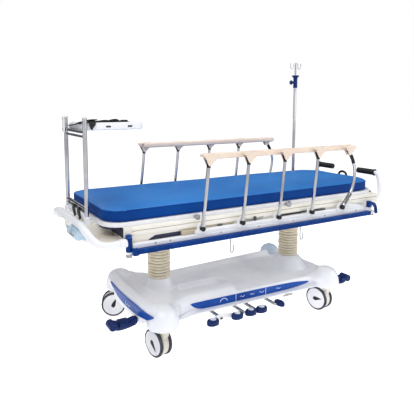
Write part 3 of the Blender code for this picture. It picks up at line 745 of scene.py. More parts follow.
for end, x in (("foot", -0.499), ("head", 0.481)):
    low = LOW_Z[end]
    skirt = ((0.062, low + 0.002), (0.0665, low + 0.0015)) + SKIRTS[end] + ((0.05, SKIRTS[end][-1][1]),
                                                                         (0.05, low + 0.002))
    make(f"column_skirt_{end}", lathe(skirt, 72, (x, 0, 0)), "cover", "base", (f"column_{end}",), 50)
    pitch = (HIGH_Z - low) / PLEATS[end]
    for tail, first, last, a, b in RUNS[end]:
        sleeve = make(f"bellows_sleeve_{end}{tail}", pleats(end, x, first, last, HIGH_Z, pitch), "bellows", None,
                      () if tail else (f"bellows_{end}",), 75)
        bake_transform(sleeve)
    collar = ((0.0, 0.6275), (0.056, 0.6275), (0.06, 0.624), (0.06, 0.609), (0.057, 0.6055), (0.044, 0.6055),
              (0.044, 0.4), (0.0, 0.4))
    make(f"column_head_{end}", lathe(collar, 48, (x, 0, 0)), "steel", RAMS[end], (f"ram_{end}",))

# ---- castors
DEG = {"foot_near": 101.0, "foot_far": 157.0, "head_near": 100.0, "head_far": 12.0}
DROP_DEG = {"foot_near": 38.0, "foot_far": 158.0, "head_near": 100.0, "head_far": 40.0}
TRAIL, WHEEL_R = 0.04, 0.075
for key, (x, y) in STEMS.items():
    here = Matrix.Translation((x, y, 0)) @ Matrix.Rotation(math.radians(DEG[key]), 4, "Z")
    hub = here @ Matrix.Translation((TRAIL, 0, WHEEL_R)) @ Matrix.Rotation(math.radians(-90), 4, "X")
    core = lathe(((0, 0.0195), (0.064, 0.0195), (0.069, 0.0165), (0.07, 0.0), (0.069, -0.0165),
                  (0.064, -0.0195), (0, -0.0195)), 56)
    neck = lathe(((0, 0.1575), (0.034, 0.1575), (0.036, 0.154), (0.034, 0.148), (0.026, 0.14), (0.0, 0.12)), 40)
    web = plate([(-0.03, 0.152), (-0.031, 0.132), (-0.014, 0.098), (0.01, 0.06), (0.06, 0.06), (0.072, 0.11),
                 (0.056, 0.146), (0.034, 0.153)], 0.0385, 0.006, (0, 0, 0), ALONG_Y, 3)
    make(f"castor_body_{key}", join(moved(core, matrix=hub), moved(join(neck, web), matrix=here)),
         "hub", f"castor_{key}", (f"castor_fork_{key}",))
    tyre, faces, drops = [], [], []
    for k in (1, -1):
        ring = ((0.064, 0.0215), (0.0715, 0.0215), (WHEEL_R, 0.0245), (WHEEL_R, 0.0335), (0.0728, 0.0362),
                (0.0675, 0.0376), (0.064, 0.0376))
        tyre.append(lathe([(r, k * z) for r, z in ring], 64))
        disc = ((0, 0.0396), (0.016, 0.0396), (0.018, 0.0388), (0.052, 0.0384), (0.0645, 0.0374), (0.0672, 0.036),
                (0.0672, 0.022), (0.0, 0.022))
        faces.append(lathe([(r, k * z) for r, z in disc], 64))
        drop = [(0.0, -0.046), (0.007, -0.022), (0.0125, 0.0), (0.0115, 0.01), (0.006, 0.0165), (0.0, 0.018),
                (-0.006, 0.0165), (-0.0115, 0.01), (-0.0125, 0.0), (-0.007, -0.022)]
        a = math.radians(DROP_DEG[key])
        turned = [(-x0 * math.cos(a) + y0 * math.sin(a), -x0 * math.sin(a) - y0 * math.cos(a)) for x0, y0 in drop]
        drops.append(plate([(u, v * k) for u, v in (turned if k == 1 else turned[::-1])], 0.0024, 0.0006,
                           (0, 0, k * 0.0399)))
    make(f"castor_tyres_{key}", moved(join(*tyre), matrix=hub), "tyre", f"wheel_{key}",
         (f"castor_wheel_{key}",), 40)
    make(f"castor_discs_{key}", moved(join(*faces), matrix=hub), "castor", f"wheel_{key}")
    make(f"castor_hubs_{key}", moved(join(*drops), matrix=hub), "black", f"wheel_{key}")

# ---- pedals
SHAFT_Z, SHAFT_END, PAD_Y, PAD_R = 0.172, 0.378, 0.402, 0.025


def pad_body(x, y, oval):
    """A foot pad: a navy boss, round or a long oval that points outwards."""
    ring = ((0, 0.012), (0.017, 0.012), (0.0215, 0.0105), (0.0247, 0.005), (PAD_R, -0.002), (0.024, -0.01),
            (0.018, -0.013), (0, -0.013))
    bm = lathe(ring, 40)
    bmesh.ops.scale(bm, vec=(0.9, 1.5, 1.0) if oval else (1.45, 1.0, 1.3), verts=bm.verts)
    return moved(bm, (x, y, SHAFT_Z + 0.007))


for name, x, pads in (("tilt", -0.313, (-0.07, 0.086)), ("pump", -0.164, (0.028,)),
                      ("lower", -0.087, (0.025,)), ("steer", 0.057, (0.022,))):
    body = f"pedals_{name}"
    bosses, tops = [], []
    rods = [tube([(x, -SHAFT_END, SHAFT_Z), (x, 0.022, SHAFT_Z)], 0.0062, 20),
            sweep([(x, y, SHAFT_Z) for y in (-0.255, -0.33, -SHAFT_END)], rounded(0.022, 0.0125, 0.005),
                  up=(0, 0, 1))]
    oval = name == "steer"
    pad_y = -(0.389 if oval else PAD_Y)
    for dx in pads:
        bosses.append(pad_body(x + dx, pad_y, oval))
        if oval:
            tops += blocks((x + dx, pad_y, SHAFT_Z), *[(-0.01, 0.01, 0.011 * k - 0.002, 0.011 * k + 0.002,
                                                        0.018, 0.0215, 0.001) for k in range(-2, 3)])
        else:
            tops.append(lathe(((0, 0.0256), (0.014, 0.0256), (0.0162, 0.0242), (0.0168, 0.02), (0, 0.02)), 32,
                              (x + dx, pad_y, SHAFT_Z)))
    if name == "tilt":
        low, high = x + pads[0], x + pads[1]
        arch = spline([(low, -0.384, SHAFT_Z), (low + 0.03, -0.377, SHAFT_Z + 0.004), (x, -0.37, SHAFT_Z + 0.012),
                       (high - 0.03, -0.377, SHAFT_Z + 0.006), (high, -0.384, SHAFT_Z)], 6)
        arm = sweep(arch, rounded(0.01, 0.026, 0.004), up=(0, 0, 1))
    else:
        bend = spline([(x, -0.356, SHAFT_Z), (x, -0.376, SHAFT_Z + 0.001), (x + pads[0], -0.388, SHAFT_Z + 0.002)], 6)
        arm = sweep(bend, rounded(0.016, 0.012, 0.004), up=(0, 0, 1))
    make(f"pedal_rods_{name}", join(*rods), "steel", body, (f"pedal_{name}",))
    make(f"pedal_pads_{name}", join(*bosses), "navy", body)
    make(f"pedal_faces_{name}", join(*tops), "navy" if oval else "pad", body)
    make(f"pedal_arms_{name}", arm, "white" if name == "tilt" else "steel", body)

for end, x, y, way in (("foot", -0.725, -0.155, -1.0), ("head", 0.662, -0.27, 0.63)):
    arm = sweep(spline([(x, y, 0.168), (x + way * 0.04, y, 0.16), (x + way * 0.085, y, 0.158),
                        (x + way * 0.12, y, 0.168)], 6), rounded(0.05, 0.03, 0.01), up=(0, 1, 0))
    barrel = puck(0.022, 0.034, 0.004, 0.004, 36, (x + way * 0.128, y, 0.17), ALONG_Y)
    shoe = box((x + way * 0.03, x + way * 0.092), (y - 0.034, y + 0.034), (0.15, 0.181), 0.008, 4)
    fin = plate([(-0.02, -0.01), (0.016, -0.016), (0.022, 0.016), (-0.018, 0.008)], 0.044, 0.004,
                (x + way * 0.006, y, 0.17), ALONG_Y)
    ribs = [box((x + way * at, x + way * (at + 0.005)), (y - 0.028, y + 0.028), (0.179, 0.1835), 0.0015, 2)
            for at in (0.04, 0.051, 0.062, 0.073, 0.084)]
    make(f"brake_shoe_{end}", join(arm, barrel, shoe, fin, *ribs), "navy", f"brake_{end}",
         (f"brake_pedal_{end}",))

# ---- bed frame
dress("bed_frame", "cream", 0.004)
dress("deck_seat", "deck", 0.005)
dress("deck_back", "deck", 0.005)
for side, s in SIDES.items():
    upper = box((-0.812, 0.926), (s * 0.3435, s * 0.3505), (0.7135, 0.7305), 0.003)
    lower = plate([(-0.8, 0.7105), (-0.812, 0.7), (-0.8, 0.69), (-0.47, 0.688), (0.64, 0.688),
                   (0.926, 0.696), (0.926, 0.7105)], 0.007, 0.002, (0, s * 0.3475, 0), ALONG_Y)
    ledge = box((-0.806, 0.92), (s * 0.33, s * 0.3465), (0.73, 0.7322), 0.0006)
    make(f"frame_panels_{side}", join(upper, lower, ledge), "cream", "bed")
    seam = box((-0.806, 0.92), (s * 0.344, s * 0.347), (0.71, 0.714), 0.0008)
    make(f"frame_seams_{side}", seam, "tan", "bed")
    # dark strips painted as the shade inside two slots under the deck edge
    gap_shades = boxes(s, 0.002, (0.085, 0.262, 0.344, 0.35, 0.6765, 0.689), (0.345, 0.43, 0.344, 0.35, 0.6765, 0.687))
    make(f"frame_gaps_{side}", join(*gap_shades), "gap_shade", "bed")
    # a tan plate painted as the shade inside the first slot under the deck edge
    hollow_shade = plate([(-0.402, 0.6765), (-0.222, 0.6765), (-0.215, 0.688), (-0.3, 0.69), (-0.402, 0.686)],
                   0.006, 0.0015, (0, s * 0.347, 0), ALONG_Y)
    make(f"frame_hollow_{side}", hollow_shade, "tan", "bed")
    wires = [tube(spline([(-0.15, s * 0.352, 0.694), (-0.12, s * 0.353, 0.688), (-0.07, s * 0.353, 0.6865),
                          (-0.022, s * 0.352, 0.692)], 5), 0.0016, 10),
             tube([(-0.16, s * 0.352, 0.685), (-0.03, s * 0.352, 0.68)], 0.0014, 10)]
    make(f"frame_wires_{side}", join(*wires), "grey", "bed")
    levers = boxes(s, 0.003, (-0.33, -0.298, 0.35, 0.358, 0.677, 0.6855), (-0.09, -0.076, 0.35, 0.362, 0.672, 0.7),
                   (0.255, 0.3, 0.35, 0.36, 0.682, 0.69), (0.395, 0.45, 0.35, 0.36, 0.677, 0.687))
    make(f"frame_levers_{side}", join(*levers), "dark", "bed")
    block = box((-0.547, -0.455), (s * 0.345, s * 0.366), (0.659, 0.682), 0.003)
    make(f"frame_box_{side}", block, "tan", "bed")
    clips = [box((x - 0.013, x + 0.013), (s * 0.328, s * 0.352), (0.724, 0.748), 0.003) for x in (-0.446, 0.166)]
    make(f"deck_clips_{side}", join(*clips), "grey", "bed")
    hinge = puck(0.008, 0.01, 0.001, 0.002, 28, (0.184, s * 0.3385, 0.7445), ALONG_Y)
    make(f"deck_hinge_{side}", hinge, "steel", "bed")
    # a navy plate painted as the shadow under the frame's foot part
    dark = plate([(-0.725, 0.656), (-0.546, 0.656), (-0.546, 0.6785), (-0.687, 0.6775), (-0.714, 0.665)],
                 0.03, 0.0015, (0, s * 0.332, 0), ALONG_Y)
    make(f"painted_underside_shadow_{side}", dark, "shadow_navy", "bed")
    bar = box((-0.818, 0.788), (s * 0.351, s * 0.3755), (0.607, 0.658), 0.006)
    top = box((-0.474, 0.612), (s * 0.3505, s * 0.374), (0.656, 0.677), 0.004)
    wedge = plate([(0.612, 0.655), (0.792, 0.655), (0.792, 0.666), (0.64, 0.7), (0.612, 0.7)], 0.018, 0.003,
                  (0, s * 0.362, 0), ALONG_Y)
    make(f"side_bars_{side}", join(bar, top, wedge), "white", "bed", (f"side_panel_{side}",))
    screws = [lathe(((0, 0.0015), (0.004, 0.0012), (0.0052, 0), (0, 0)), 20, (x, s * 0.3755, 0.648), (-s * 90, 0, 0))
              for x in (-0.7, -0.62, -0.32, -0.07, 0.18, 0.43, 0.7)]
    make(f"side_screws_{side}", join(*screws), "steel", "bed")
    section = [(0.0155, -0.006), (0.0155, 0.001), (0.014, 0.002), (0.014, 0.004), (0.0155, 0.005),
               (0.0155, 0.012), (0.012, 0.0155), (-0.012, 0.0155), (-0.0155, 0.012), (-0.0155, -0.006),
               (-0.012, -0.009), (0.012, -0.009)]
    path = [(x, s * 0.391, 0.621) for x in (-0.8, -0.4, 0.0, 0.4, 0.804)]
    make(f"bumper_rail_{side}", sweep(path, [(-s * u if s > 0 else u, v) for u, v in section], up=(0, 0, 1)),
         "bumper", "bed", (f"bumper_{side}",), 38)
    turn = spline([(0.8, s * 0.39, 0.617), (0.835, s * 0.388, 0.617), (0.862, s * 0.374, 0.617),
                   (0.877, s * 0.35, 0.617), (0.883, s * 0.325, 0.617)], 5)
    make(f"bumper_turn_{side}", tube(turn, 0.0115, 20), "white", "bed")
    bolt = lathe(((0, 0.0015), (0.006, 0.0012), (0.0072, 0), (0, 0)), 20, (0.824, s * 0.4, 0.612), (-s * 90, 0, 0))
    make(f"bumper_bolt_{side}", bolt, "dark", "bed")
    cap = tube(spline([(0.808, s * 0.3885, 0.681), (0.833, s * 0.3885, 0.681), (0.855, s * 0.3885, 0.669),
                       (0.868, s * 0.3885, 0.645), (0.873, s * 0.388, 0.614)], 6), 0.0105, 20)
    foot = box((0.79, 0.818), (s * 0.374, s * 0.4), (0.66, 0.7), 0.006)
    make(f"corner_cap_{side}", join(cap, foot), "bumper", "bed", (), 40)
    make(f"corner_block_{side}", box((0.795, 0.85), (s * 0.35, s * 0.374), (0.606, 0.65), 0.006), "white", "bed")
    corner = (-0.8335, s * 0.3625, 0)
    post = ((0, 0.694), (0.01, 0.694), (0.0125, 0.691), (0.0125, 0.604), (0.0105, 0.6), (0.0, 0.6))
    make(f"corner_tube_{side}", lathe(post, 36, corner), "white", "bed",
         (f"corner_post_{side}",))
    sleeve = lathe(((0.0128, 0.69), (0.015, 0.69), (0.0158, 0.686), (0.016, 0.65), (0.0158, 0.624),
                    (0.0148, 0.62), (0.0128, 0.62)), 36, corner)
    plug = lathe(((0, 0.702), (0.012, 0.702), (0.0155, 0.699), (0.0155, 0.692), (0.0, 0.692)), 36, corner)
    ring = lathe(((0.01, 0.606), (0.015, 0.606), (0.0152, 0.603), (0.0152, 0.596), (0.0136, 0.592),
                  (0.01, 0.594)), 36, corner)
    make(f"corner_ring_{side}", ring, "steel", "bed")
    block = box((-0.826, -0.797), (s * 0.376, s * 0.404), (0.606, 0.64), 0.005)
    make(f"corner_sleeve_{side}", join(sleeve, plug, block), "bumper", "bed", (), 40)
for n, x in enumerate((-0.26, 0.23)):
    u = spline([(x - 0.011, -0.391, 0.606), (x - 0.011, -0.391, 0.56), (x - 0.008, -0.391, 0.54), (x, -0.391, 0.533),
                (x + 0.008, -0.391, 0.54), (x + 0.011, -0.391, 0.556), (x + 0.011, -0.391, 0.575)], 5)
    make(f"rail_hook_{n + 1}", tube(u, 0.0032, 12), "grey", "bed")

# ---- side guards
RAIL_X0, RAIL_X1, RAIL_Y, RAIL_Z = -0.412, 0.632, 0.365, 1.051
POST_X = (-0.443, -0.193, 0.057, 0.307, 0.557)
POST_PATH = ((0.0, -0.01), (0.0, 0.02), (0.012, 0.11), (0.024, 0.21), (0.033, 0.3), (0.034, 0.325), (0.022, 0.352))
LAST_PATH = ((0.0, -0.01), (0.01, 0.012), (0.034, 0.04), (0.058, 0.068), (0.08, 0.11), (0.094, 0.16),
             (0.098, 0.2), (0.092, 0.24), (0.072, 0.29), (0.046, 0.328), (0.022, 0.352))


def part_of(points, low, high):
    """The stretch of a path between two heights."""
    return [p for p in points if low <= p[2] <= high]


for side, s in SIDES.items():
    y = s * 0.392
    for n, x in enumerate(POST_X):
        last = n == len(POST_X) - 1
        body = f"post_{side}_{n + 1}"
        line = spline([(x + px, y, 0.69 + pz) for px, pz in (LAST_PATH if last else POST_PATH)], 8)
        make(f"post_tube_{side}_{n + 1}", tube(line, 0.0088, 20), "chrome", body,
             (f"guard_post_{side}_{n + 1}",), 40)
        boot = tube(part_of(line, 0.679, 0.7), 0.0112, 20)
        knuckle = puck(0.0122, 0.0115, 0.0012, 0.0015, 28, (x, y, 0.686), ALONG_Y)
        top = tube(part_of(line, *((0.955, 1.04) if last else (0.992, 1.042))), 0.0104, 20)
        make(f"post_fittings_{side}_{n + 1}", join(boot, knuckle, top), "black", body)
        if last:
            base_pt, tip = Vector((x + 0.012, y, 0.706)), Vector((x + 0.064, y, 0.768))
            along = (tip - base_pt).normalized()
            across = along.cross(Vector((0, 1, 0))).normalized()
            turns, coil = 9, []
            for k in range(turns * 14 + 1):
                a = math.tau * k / 14
                coil.append(base_pt + (tip - base_pt) * (k / (turns * 14))
                            + (across * math.cos(a) + Vector((0, 1, 0)) * math.sin(a)) * 0.0112)
            make(f"post_spring_{side}", tube(coil, 0.0019, 8), "dark", body, (), 60)
        lug = [(-0.024, -0.03), (0.024, -0.03), (0.024, 0.004)] + [
            (0.024 * u, 0.004 + 0.022 * v) for u, v in arc(0, 0, 1, 15, 150, 10)] + [(-0.024, 0.004)]
        ear = plate(lug, 0.0065, 0.0016, (x, s * 0.3765, 0.686), ALONG_Y)
        washer = lathe(((0, 0.003), (0.006, 0.003), (0.0068, 0.002), (0.0068, -0.003), (0, -0.003)), 24,
                       (x + 0.014, s * 0.38, 0.668), ALONG_Y)
        make(f"post_lug_{side}_{n + 1}", join(ear, washer), "white", "bed")
    rail = sweep([(RAIL_X0 + (RAIL_X1 - RAIL_X0) * k / 20, s * RAIL_Y, RAIL_Z) for k in range(21)],
                 rounded(0.03, 0.033, 0.011, 5), up=(0, 0, 1))
    caps = [lathe(((0, 0.012), (0.008, 0.0105), (0.0135, 0.006), (0.0155, -0.002), (0.0155, -0.008), (0, -0.008)), 32,
                  (x, s * RAIL_Y, RAIL_Z), (0, way * 90, 0)) for x, way in ((RAIL_X0, -1), (RAIL_X1, 1))]
    cheek = [(-0.016, 0.02), (0.056, 0.02), (0.058, 0.006), (0.044, -0.01), (0.026, -0.024), (0.016, -0.036),
             (0.004, -0.038), (-0.004, -0.026), (-0.012, -0.01), (-0.018, 0.004)]
    forks = []
    for x in POST_X:
        shape = [(q.x, q.y) for q in spline([(a, b, 0) for a, b in cheek], 3, True)]
        for at, thick in ((0.4056, 0.004), (0.3784, 0.004)):
            forks.append(plate(shape, thick, 0.0012, (x + 0.026, s * at, 1.044), ALONG_Y))
        # the bridge between the cheeks stays clear of the post as it folds; the last post sweeps past it
        if x != POST_X[-1]:
            forks.append(box((x + 0.01, x + 0.083), (s * 0.36, s * 0.4076), (1.0605, 1.0668), 0.003))
        forks.append(box((x - 0.001, x + 0.009), (s * 0.36, s * 0.4076), (1.05, 1.0662), 0.0035))
        forks.append(lathe(((0, 0.0018), (0.0045, 0.0015), (0.0055, 0), (0.004, -0.0005), (0.004, -0.029),
                            (0, -0.029)), 20, (x + 0.022, s * 0.4074, 1.042), (-s * 90, 0, 0)))
    make(f"hand_rail_{side}", join(rail, *caps, *forks), "beige", f"rail_{side}",
         (f"handrail_{side}",), 45)

# ---- foot end
HALF_BAR = [(-0.847, 0.3665, 0.666), (-0.89, 0.3668, 0.664), (-0.942, 0.3662, 0.664), (-0.975, 0.352, 0.671),
            (-0.996, 0.322, 0.688), (-1.008, 0.275, 0.712), (-1.012, 0.22, 0.727), (-1.012, 0.15, 0.731),
            (-1.012, 0.0, 0.731)]
collars = [lathe(((0.019, 0.014), (0.0215, 0.014), (0.0222, 0.012), (0.0222, -0.012), (0.0215, -0.014),
                  (0.019, -0.014)), 32, (-0.868, s * 0.3667, 0.665), ALONG_X) for s in (-1, 1)]
make("foot_rail", join(tube(spline(mirrored(HALF_BAR), 7), 0.019, 28), *collars), "white", "bed",
     ("foot_bar",))
for side, s in SIDES.items():
    shelf_plate = [(-0.848, 0.1), (-0.848, 0.352), (-0.95, 0.352), (-0.972, 0.33), (-0.985, 0.28),
                   (-0.985, 0.19), (-0.93, 0.1)]
    make(f"foot_plate_{side}", plate([(a, s * b) for a, b in shelf_plate][::int(s)], 0.005, 0.0015, (0, 0, 0.674)),
         "tan_light", "bed")
    # a navy strip and sheet painted as the shadow beneath the rim round the foot corner
    corner = sweep(spline([(-0.85, s * 0.3, 0.722), (-0.868, s * 0.292, 0.722), (-0.905, s * 0.245, 0.722),
                           (-0.915, s * 0.19, 0.722)], 5), rounded(0.004, 0.018, 0.0015, 2), up=(0, 0, 1))
    make(f"foot_shadow_{side}", join(corner, box((-0.852, -0.846), (s * 0.1, s * 0.335), (0.68, 0.7315), 0.002)),
         "shadow_navy", "bed")
roller = -0.972, 0.405, 0.674
drum = ((0, 0.0185), (0.008, 0.0185), (0.01, 0.0175), (0.0175, 0.02), (0.0215, 0.0165), (0.0222, 0.0),
        (0.0215, -0.0165), (0.0175, -0.02), (0, -0.02))
make("roller_drum", lathe(drum, 40, roller), "grey", "roller", ("corner_roller",), 40)
bracket = blocks(roller, (-0.01, 0.03, -0.055, 0.005, 0.0215, 0.0255, 0.0015),
                 (-0.01, 0.03, -0.055, 0.005, -0.0255, -0.0215, 0.0015),
                 (0.0225, 0.03, -0.033, -0.005, -0.024, 0.024, 0.002))
make("roller_bracket", join(*bracket), "white", "bed")
bx, by, bz = moulding = -1.02, -0.135, 0.688
clear = blocks(moulding, (-0.026, 0.026, -0.098, 0.012, -0.022, 0.024, 0.009, 4),
               (-0.021, 0.022, 0.01, 0.1, -0.017, 0.017, 0.007, 4),
               (-0.029, -0.018, -0.08, -0.008, -0.013, 0.015, 0.003),
               (-0.024, -0.012, 0.03, 0.084, 0.004, 0.0205, 0.003))
clear.append(puck(0.014, 0.01, 0.002, 0.002, 28, (bx - 0.018, by + 0.05, bz - 0.002), ALONG_X))
clear += blocks(moulding, *[(-0.023, 0.02, -0.093 + 0.017 * k, -0.086 + 0.017 * k, 0.022, 0.0265, 0.0018, 2)
                            for k in range(6)])
make("foot_moulding", join(*clear), "block", "bed", ("foot_block",))
slits = blocks(moulding, (-0.0292, -0.026, -0.068, -0.018, -0.003, 0.003, 0.001),
               (-0.0235, -0.016, 0.02, 0.09, -0.0175, -0.013, 0.0015))
make("foot_moulding_slit", join(*slits), "dark", "bed")

sx = -0.972
frame_bits = []
for s in (-1, 1):
    frame_bits.append(sweep([(sx, s * 0.167, 0.7325), (sx, s * 0.167, 1.247)], rounded(0.0215, 0.0215, 0.0104, 6),
                            up=(0, 1, 0)))
    frame_bits.append(lathe(((0, 0.004), (0.008, 0.0035), (0.01, 0.001), (0.01, -0.002), (0, -0.002)), 32,
                            (sx, s * 0.167, 1.2465)))
for z, r in ((0.782, 0.006), (0.802, 0.0085), (1.157, 0.0065), (1.18, 0.0085)):
    frame_bits.append(tube([(sx, -0.16, z), (sx, 0.16, z)], r, 20))
make("shelf_tubes", join(*frame_bits), "chrome", "shelf", ("monitor_frame",), 40)
sockets = [box((sx - 0.015, sx + 0.015), (s * 0.1525, s * 0.1815), (0.67, 0.764), 0.004) for s in (-1, 1)]
sockets += blocks((sx, 0, 0), (-0.015, -0.0108, 0.146, 0.188, 1.165, 1.249, 0.0015),
                  (0.0108, 0.0165, -0.15, 0.15, 1.183, 1.215, 0.002))
make("shelf_sockets", join(*sockets), "white", "shelf")
make("shelf_screws", join(*[lathe(((0, 0.003), (0.004, 0.003), (0.0055, 0.001), (0.0055, -0.001), (0, -0.001)), 20,
                                  (sx - 0.0152, 0.167, z), (0, -90, 0)) for z in (1.18, 1.234)]),
     "steel", "shelf")
panel = box((sx - 0.004, sx + 0.004), (-0.15, 0.15), (0.744, 0.7745), 0.0025)
make("shelf_low_panel", panel, "tray", "shelf")
ribbons = []


def ribbon(points, body, width=0.03, up=(0.0, 0.25, 1)):
    """A length of webbing along a curve, swept as a flat strap."""
    path = spline(points, 7)
    strip = sweep(path, rounded(width, 0.0026, 0.0012, 2), up=up)
    obj = make(f"webbing_strap_{len(ribbons) + 1}", strip, "strap", body, (), 60)
    ribbons.append(obj)


clips = []
for y in (0.028, -0.06):
    ribbon([(sx + 0.0085, y + 0.012, 0.782), (sx, y + 0.012, 0.79), (sx - 0.0088, y + 0.01, 0.782),
            (sx - 0.01, y + 0.004, 0.77), (sx - 0.008, y - 0.006, 0.757), (sx - 0.0078, y - 0.013, 0.745),
            (sx - 0.007, y - 0.018, 0.735)], "shelf", up=(-1, 0, 0.2))
    clips.append(box((sx - 0.0105, sx - 0.005), (y + 0.02, y + 0.042), (0.746, 0.774), 0.0018))
make("shelf_strap_clips", join(*clips), "white", "shelf")

TX0, TX1, TY = -0.9545, -0.6505, 0.1495


def tray_loop(inset):
    """Plan of the tray, drawn in by an inset."""
    points = rounded(TX1 - TX0 - 2 * inset, 2 * (TY - inset), max(0.03 - inset, 0.008), 6)
    return [((TX0 + TX1) / 2 + x, y) for x, y in points]


levels = ((0.02, 1.1845), (0.006, 1.1855), (0.001, 1.19), (0.0, 1.199), (0.0, 1.217), (0.002, 1.2225), (0.006, 1.224),
          (0.01, 1.2225), (0.013, 1.218), (0.017, 1.2155))
make("shelf_tray", loft([(z, tray_loop(inset)) for inset, z in levels]), "white", "tray",
     ("monitor_tray",), 40)
slots = [plate(rounded(0.026, 0.009, 0.0044, 5), 0.003, 0.0006, (x, s * 0.1496, 1.2035), ALONG_Y)
         for s in (-1, 1) for x in (-0.845, -0.73)]
make("shelf_tray_slots", join(*slots), "dark", "tray")
STRAPS = ([(-0.956, -0.146, 1.229), (-0.93, -0.138, 1.2285), (-0.9, -0.128, 1.2275), (-0.86, -0.112, 1.225),
           (-0.815, -0.1, 1.231), (-0.765, -0.092, 1.227), (-0.712, -0.086, 1.219)],
          [(-0.925, -0.06, 1.218), (-0.892, -0.076, 1.224), (-0.855, -0.096, 1.231), (-0.822, -0.082, 1.23),
           (-0.79, -0.086, 1.235), (-0.772, -0.06, 1.226), (-0.812, -0.046, 1.222), (-0.86, -0.06, 1.224)],
          [(-0.965, 0.112, 1.2), (-0.965, 0.06, 1.206), (-0.9648, 0.0, 1.211), (-0.963, -0.05, 1.219),
           (-0.957, -0.09, 1.227), (-0.942, -0.118, 1.23)],
          [(-0.915, 0.1, 1.2175), (-0.87, 0.055, 1.219), (-0.82, 0.03, 1.224), (-0.78, 0.045, 1.221),
           (-0.74, 0.01, 1.22), (-0.7, 0.04, 1.2175)],
          [(-0.948, -0.122, 1.234), (-0.932, -0.144, 1.237), (-0.914, -0.14, 1.237), (-0.912, -0.118, 1.235),
           (-0.93, -0.108, 1.234)])
for points in STRAPS:
    ribbon(points, "tray")
tail = [(-0.93, -0.128, 1.235), (-0.929, -0.144, 1.232), (-0.929, -0.1535, 1.227), (-0.929, -0.156, 1.218),
        (-0.93, -0.1553, 1.208), (-0.932, -0.1545, 1.198), (-0.934, -0.154, 1.19)]
ribbon(tail, "tray", 0.034, (0, -0.6, 0.8))
# the strap's hanging tail narrows to a point
TAIL_X, TAIL_TOP, TAIL_TIP = -0.933, 1.216, 1.188
for v in ribbons[-1].data.vertices:
    if v.co.z < TAIL_TOP:
        v.co.x = TAIL_X + (v.co.x - TAIL_X) * max(0.12, (v.co.z - TAIL_TIP) / (TAIL_TOP - TAIL_TIP))
buckles = [box((-0.816, -0.782), (-0.028, 0.006), (1.219, 1.2285), 0.003),
           box((-0.752, -0.722), (-0.104, -0.072), (1.225, 1.2335), 0.003)]
make("shelf_buckles", join(*buckles), "black", "tray")

# ---- drip pole
px, py, knob_z = 0.84, 0.362, 1.474
pole = ((0.008, 1.4465), (0.0108, 1.4465), (0.0108, 0.706), (0.0108, 0.6405), (0.008, 0.6405))
make("drip_pole", lathe(pole, 36, (px, py, 0)), "chrome", "bed", ("iv_pole",))
foot_ring = lathe(((0.0112, 0.722), (0.015, 0.722), (0.016, 0.716), (0.016, 0.668), (0.014, 0.66),
                   (0.0112, 0.66)), 32, (px, py, 0))
make("drip_socket", foot_ring, "white", "bed")
clamp = ((0.0078, 1.528), (0.024, 1.528), (0.0262, 1.5255), (0.0262, 1.5195), (0.0235, 1.5165), (0.017, 1.5135),
         (0.0148, 1.5), (0.0152, 1.462), (0.016, 1.436), (0.0145, 1.4335), (0.0078, 1.4335))
boss = lathe(((0, 0.0), (0.0085, 0.0), (0.0085, 0.012), (0, 0.012)), 24, (px - 0.0128, py, knob_z), (0, -90, 0))
make("drip_clamp", join(lathe(clamp, 40, (px, py, 0)), boss), "navy", "bed", ("iv_clamp",), 40)
star = [((0.015 + 0.0018 * math.cos(6 * a)) * math.cos(a), (0.015 + 0.0018 * math.cos(6 * a)) * math.sin(a))
        for a in [math.tau * k / 60 for k in range(60)]]
knob = join(plate(star, 0.014, 0.003, (px - 0.0405, py, knob_z), ALONG_X, 3),
            lathe(((0, 0.0), (0.0065, 0.0), (0.0065, 0.01), (0, 0.01)), 24, (px - 0.0255, py, knob_z), (0, -90, 0)))
make("drip_knob", knob, "navy", "clamp_knob", ("iv_knob",), 40)
HOOK = ((0.05, 0.03), (0.05, 0.0), (0.0435, -0.01), (0.0285, -0.01), (0.022, 0.0), (0.022, 0.02),
        (0.012, 0.028), (0.0, 0.0295))
wire = [(px - x, py, 1.588 + z) for x, z in HOOK] + [(px + x, py, 1.588 + z) for x, z in HOOK[-2::-1]]
tips = [lathe(((0, 0.0022), (0.003, 0.0015), (0.0038, 0.0), (0.0036, -0.003), (0, -0.003)), 16,
              (px + k * 0.05, py, 1.6165)) for k in (-1, 1)]
inner = tube([(px, py, 1.002), (px, py, 1.612)], 0.0069, 24)
make("drip_rod", join(inner, tube(spline(wire, 5), 0.0029, 12), *tips), "chrome", "drip_rod",
     ("iv_rod",), 40)

# ---- head end
HANDLE = ((0.931, 0.0, 0.0), (0.975, 0.0, 0.0), (1.01, 0.0, 0.001), (1.029, 0.0, 0.012), (1.0365, 0.0, 0.036),
          (1.035, 0.0, 0.08), (1.025, 0.0, 0.13), (1.014, -0.001, 0.162), (1.0105, -0.009, 0.18),
          (1.01, -0.024, 0.185), (1.01, -0.04, 0.185))
for side, s in SIDES.items():
    pts = [(x, s * (0.28 + y), 0.667 + z) for x, y, z in HANDLE]
    stem = tube(spline(pts, 7), 0.0128, 22)
    flange = box((0.9315, 0.939), (s * 0.258, s * 0.302), (0.645, 0.689), 0.003)
    make(f"handle_tube_{side}", join(stem, flange), "white", f"handle_{side}", (f"push_handle_{side}",))
    ribs = [(0.0, -0.0745), (0.016, -0.0745), (0.0192, -0.072), (0.0192, -0.066)]
    for k in range(11):
        z0 = -0.062 + 0.0108 * k
        ribs += [(0.0178, z0), (0.0197, z0 + 0.003), (0.0197, z0 + 0.0066), (0.0178, z0 + 0.0096)]
    ribs += [(0.018, 0.06), (0.0225, 0.062), (0.0232, 0.066), (0.0222, 0.068), (0.0, 0.068)]
    grip = lathe(ribs, 36, (1.01, s * 0.1885, 0.852), (s * -90, 0, 0))
    make(f"handle_grip_{side}", grip, "black", f"handle_{side}", (), 30)
